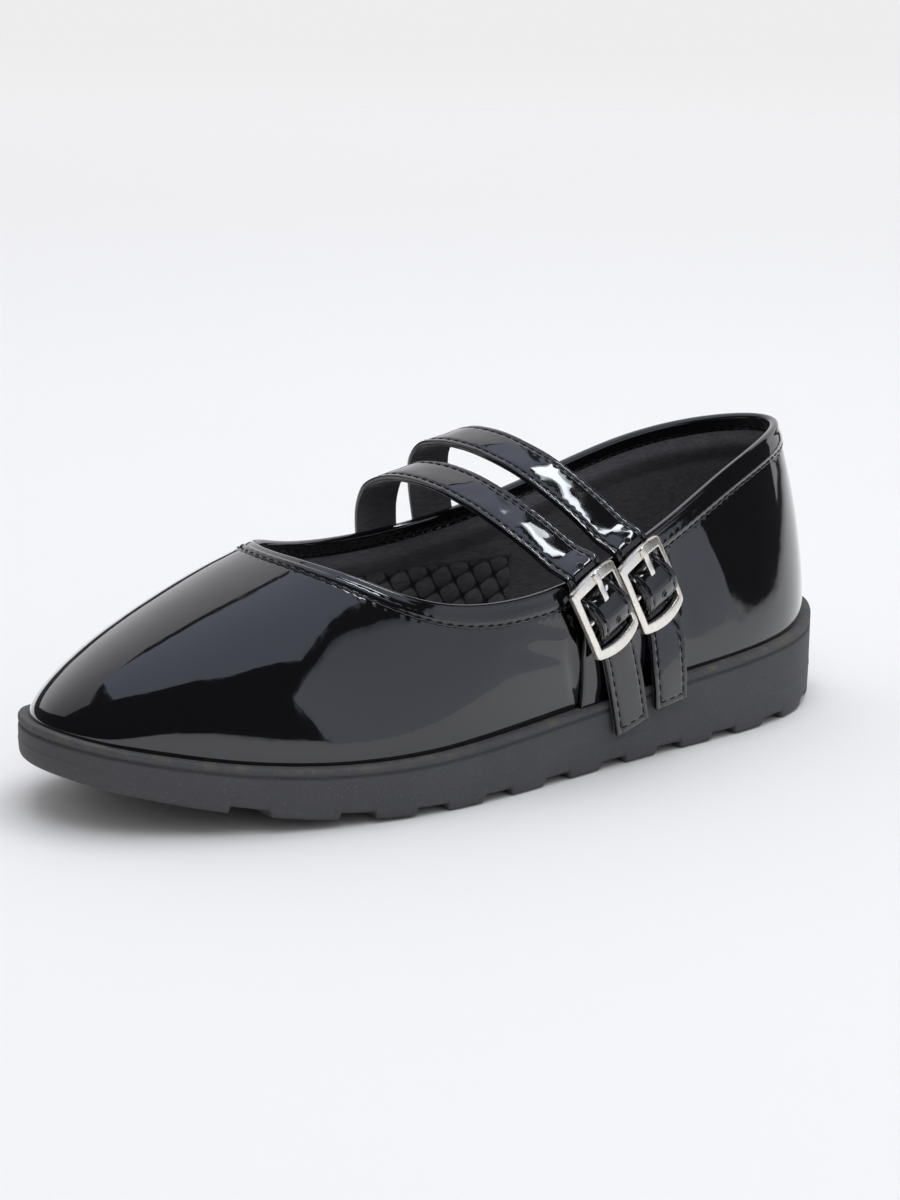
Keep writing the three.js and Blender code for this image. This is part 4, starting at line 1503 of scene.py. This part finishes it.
# The studio's cards: rows of corners, the glow's colour and strength, and its level at every corner.
Card = namedtuple("Card", "name rows colour strength levels")
CARDS = [
    Card("side_card", [
        [bearing(a, 0.35, 0.58) for a in (-95, -72, -52, -35)],
        [bearing(a, 17, 1.5) for a in (-95, -71, -52, -35)],
        [bearing(a, e, 1.8) for a, e in ((-80, 47), (-66, 52), (-50, 53), (-34, 50))],
    ], (0.82, 0.86, 1.0), 0.84, [1, 1, 0.98, 0.95, 1, 0.9, 0.68, 0.55, 0.35, 0.75, 0.75, 0.55]),
    Card("overhead_card", [
        [overhead(x, y) for x, y in
         ((-0.02, -1.1), (-0.36, -0.6), (-0.42, -0.3), (-0.66, 0.14), (-0.5, 0.45), (-0.4, 0.67))],
        [overhead(x, y) for x, y in
         ((0.0, -1.09), (0.15, -0.42), (0.22, -0.05), (0.27, 0.23), (0.4, 0.3), (0.47, 0.6))],
    ], (0.74, 0.8, 1.0), 0.85, [1] * 12),
    Card("backdrop_card", [
        [bearing(a, e, 2.6) for a, e in ((-6, 1), (30, 2), (60, 4), (100, 10), (128, 26), (152, 34))],
        [bearing(a, e, 2.6) for a, e in ((-6, 50), (30, 52), (60, 53), (100, 53.5), (128, 53), (152, 50))],
    ], (0.97, 0.95, 1.0), 0.78, [1, 1, 1, 1, 0.8, 0.6, 1, 1, 1, 0.9, 0.8, 0.7]),
    Card("spark_card", [
        [overhead(x, y, SPARK_HEIGHT) for x, y in
         ((0.18, -0.3), (0.235, -0.12), (0.28, 0.06), (0.325, 0.14), (0.33, 0.275))],
        [overhead(x, y, SPARK_HEIGHT) for x, y in
         ((0.25, -0.32), (0.31, -0.14), (0.34, 0.05), (0.385, 0.12), (0.395, 0.265))],
    ], (0.88, 0.94, 1.0), 10, [1] * 10),
]


def stage_mesh(name, bm, material):
    """A floor or a card, which is no part of the shoe."""
    made = mesh_object(name, bm, [material])
    return made


def add_floor(colour):
    """A pale floor that fades out into the air, far from the shoe."""
    paint = Paint("studio_floor", Roughness=0.9, Specular_IOR_Level=0.1)
    far = paint.vector("LENGTH", paint.place, output=1).above(FLOOR_FADE, FADE_WIDTH)
    paint.feed(Base_Color=paint.mix(paint.speckle(3), shade(colour), shade(colour, 0.985)), Alpha=1 - far)
    bm = bmesh.new()
    bmesh.ops.create_grid(bm, x_segments=4, y_segments=4, size=FLOOR_HALF)
    bmesh.ops.translate(bm, verts=bm.verts, vec=(0, 0, -FLOOR_DROP))
    stage_mesh("studio_floor", bm, paint.material)


def add_card(card):
    """A glowing card that the camera doesn't see, but the lacquer mirrors."""
    glow = Paint(f"{card.name}_glow", Base_Color=BLACK, Specular_IOR_Level=0.0,
                 Emission_Strength=card.strength)
    glow.feed(Emission_Color=glow.mix(glow.attribute("level"), BLACK, shade(card.colour)))
    bm = bmesh.new()
    bmesh.ops.create_grid(bm, x_segments=len(card.rows[0]) - 1, y_segments=len(card.rows) - 1, size=1)
    layer = bm.verts.layers.float.new("level")
    corners = sorted(bm.verts, key=lambda v: (round(v.co.y, 4), v.co.x))
    for vert, place, level in zip(corners, sum(card.rows, []), card.levels):
        vert.co = place
        vert[layer] = level
    made = stage_mesh(card.name, bm, glow.material)
    made.visible_camera = False
    made.visible_shadow = False


def add_lamp(name, kind, place, energy, **settings):
    """A lamp that faces the shoe and isn't mirrored in it."""
    data = bpy.data.lights.new(name, kind)
    data.energy = energy
    for setting, value in settings.items():
        setattr(data, setting, value)
    lamp = linked(name, data)
    lamp.location = place
    lamp.rotation_euler = (-lamp.location).to_track_quat("-Z", "Y").to_euler()
    lamp.visible_glossy = False


def add_air(scene):
    """Air that is pale where the camera looks and dark where the lacquer mirrors it."""
    scene.world = bpy.data.worlds.new("studio_air")
    scene.world.use_nodes = True
    tree = scene.world.node_tree
    seen = tree.nodes.new("ShaderNodeLightPath")
    blend = tree.nodes.new("ShaderNodeMix")
    blend.data_type = "RGBA"
    blend.inputs[6].default_value = DARK_STUDIO
    blend.inputs[7].default_value = PALE_STUDIO
    tree.links.new(seen.outputs["Is Camera Ray"], blend.inputs[0])
    tree.links.new(blend.outputs[2], tree.nodes["Background"].inputs["Color"])


def add_camera(scene):
    """A camera that looks at the middle of the shoe's box, rolled a little."""
    camera = bpy.data.cameras.new("studio_camera")
    camera.sensor_width = SENSOR
    camera.lens = LENS
    camera.clip_end = FAR_CLIP
    eye = linked("studio_camera", camera)
    low, high = (Vector(corner) for corner in CAD_BOX)
    turn = ((low + high) / 2 - CAMERA_PLACE).to_track_quat("-Z", "Y").to_matrix().to_4x4()
    eye.matrix_world = Matrix.Translation(CAMERA_PLACE) @ turn @ Matrix.Rotation(CAMERA_ROLL, 4, "Z")
    scene.camera = eye


class SHOE_OT_stage(bpy.types.Operator):
    """Pale floor, mirrored cards, soft lights and the camera"""

    bl_idname = "shoe.stage"
    bl_label = "Studio"

    def execute(self, context):
        scene = context.scene
        add_floor(scene.shoe_colours.floor)
        for card in CARDS:
            add_card(card)
        panel = {"shape": "RECTANGLE", "size": 1.6, "size_y": 1.2}
        add_lamp("back_fill", "AREA", place=(0.35, 0.5, 1.9), energy=9, **panel)
        add_lamp("front_fill", "AREA", place=(-0.2, -0.65, 1.8), energy=11, **panel)
        add_lamp("dome_fill", "SUN", place=(0, 0, 1), energy=1.45, angle=math.radians(150))
        add_air(scene)
        add_camera(scene)
        scene.view_settings.view_transform = "Standard"
        return {"FINISHED"}


# ---------------------------------------------------------------- add-on

PIECES = (
    SHOE_OT_upper, SHOE_OT_binding, SHOE_OT_lining, SHOE_OT_sole, SHOE_OT_insole,
    SHOE_OT_straps, SHOE_OT_holes, SHOE_OT_tabs, SHOE_OT_buckles, SHOE_OT_stitches, SHOE_OT_stage,
)


class SHOE_PT_panel(bpy.types.Panel):
    """Lists the shoe's pieces and settings"""

    bl_idname = "SHOE_PT_panel"
    bl_label = "Mary jane shoe"
    bl_space_type = "VIEW_3D"
    bl_region_type = "UI"
    bl_category = "Shoe"

    def draw(self, context):
        for group in (context.scene.shoe_sizes, context.scene.shoe_colours):
            for name in group.__annotations__:
                self.layout.prop(group, name)
        for piece in PIECES:
            self.layout.operator(piece.bl_idname)


CLASSES = (ShoeSizes, ShoeColours, *PIECES, SHOE_PT_panel)


def register():
    for cls in CLASSES:
        bpy.utils.register_class(cls)
    bpy.types.Scene.shoe_sizes = PointerProperty(type=ShoeSizes)
    bpy.types.Scene.shoe_colours = PointerProperty(type=ShoeColours)


def unregister():
    del bpy.types.Scene.shoe_sizes
    del bpy.types.Scene.shoe_colours
    for cls in reversed(CLASSES):
        bpy.utils.unregister_class(cls)


def main():
    register()
    bpy.ops.shoe.upper()
    bpy.ops.shoe.binding()
    bpy.ops.shoe.lining()
    bpy.ops.shoe.sole()
    bpy.ops.shoe.insole()
    bpy.ops.shoe.straps()
    bpy.ops.shoe.holes()
    bpy.ops.shoe.tabs()
    bpy.ops.shoe.buckles()
    bpy.ops.shoe.stitches()
    bpy.ops.shoe.stage()


if __name__ == "__main__":
    main()
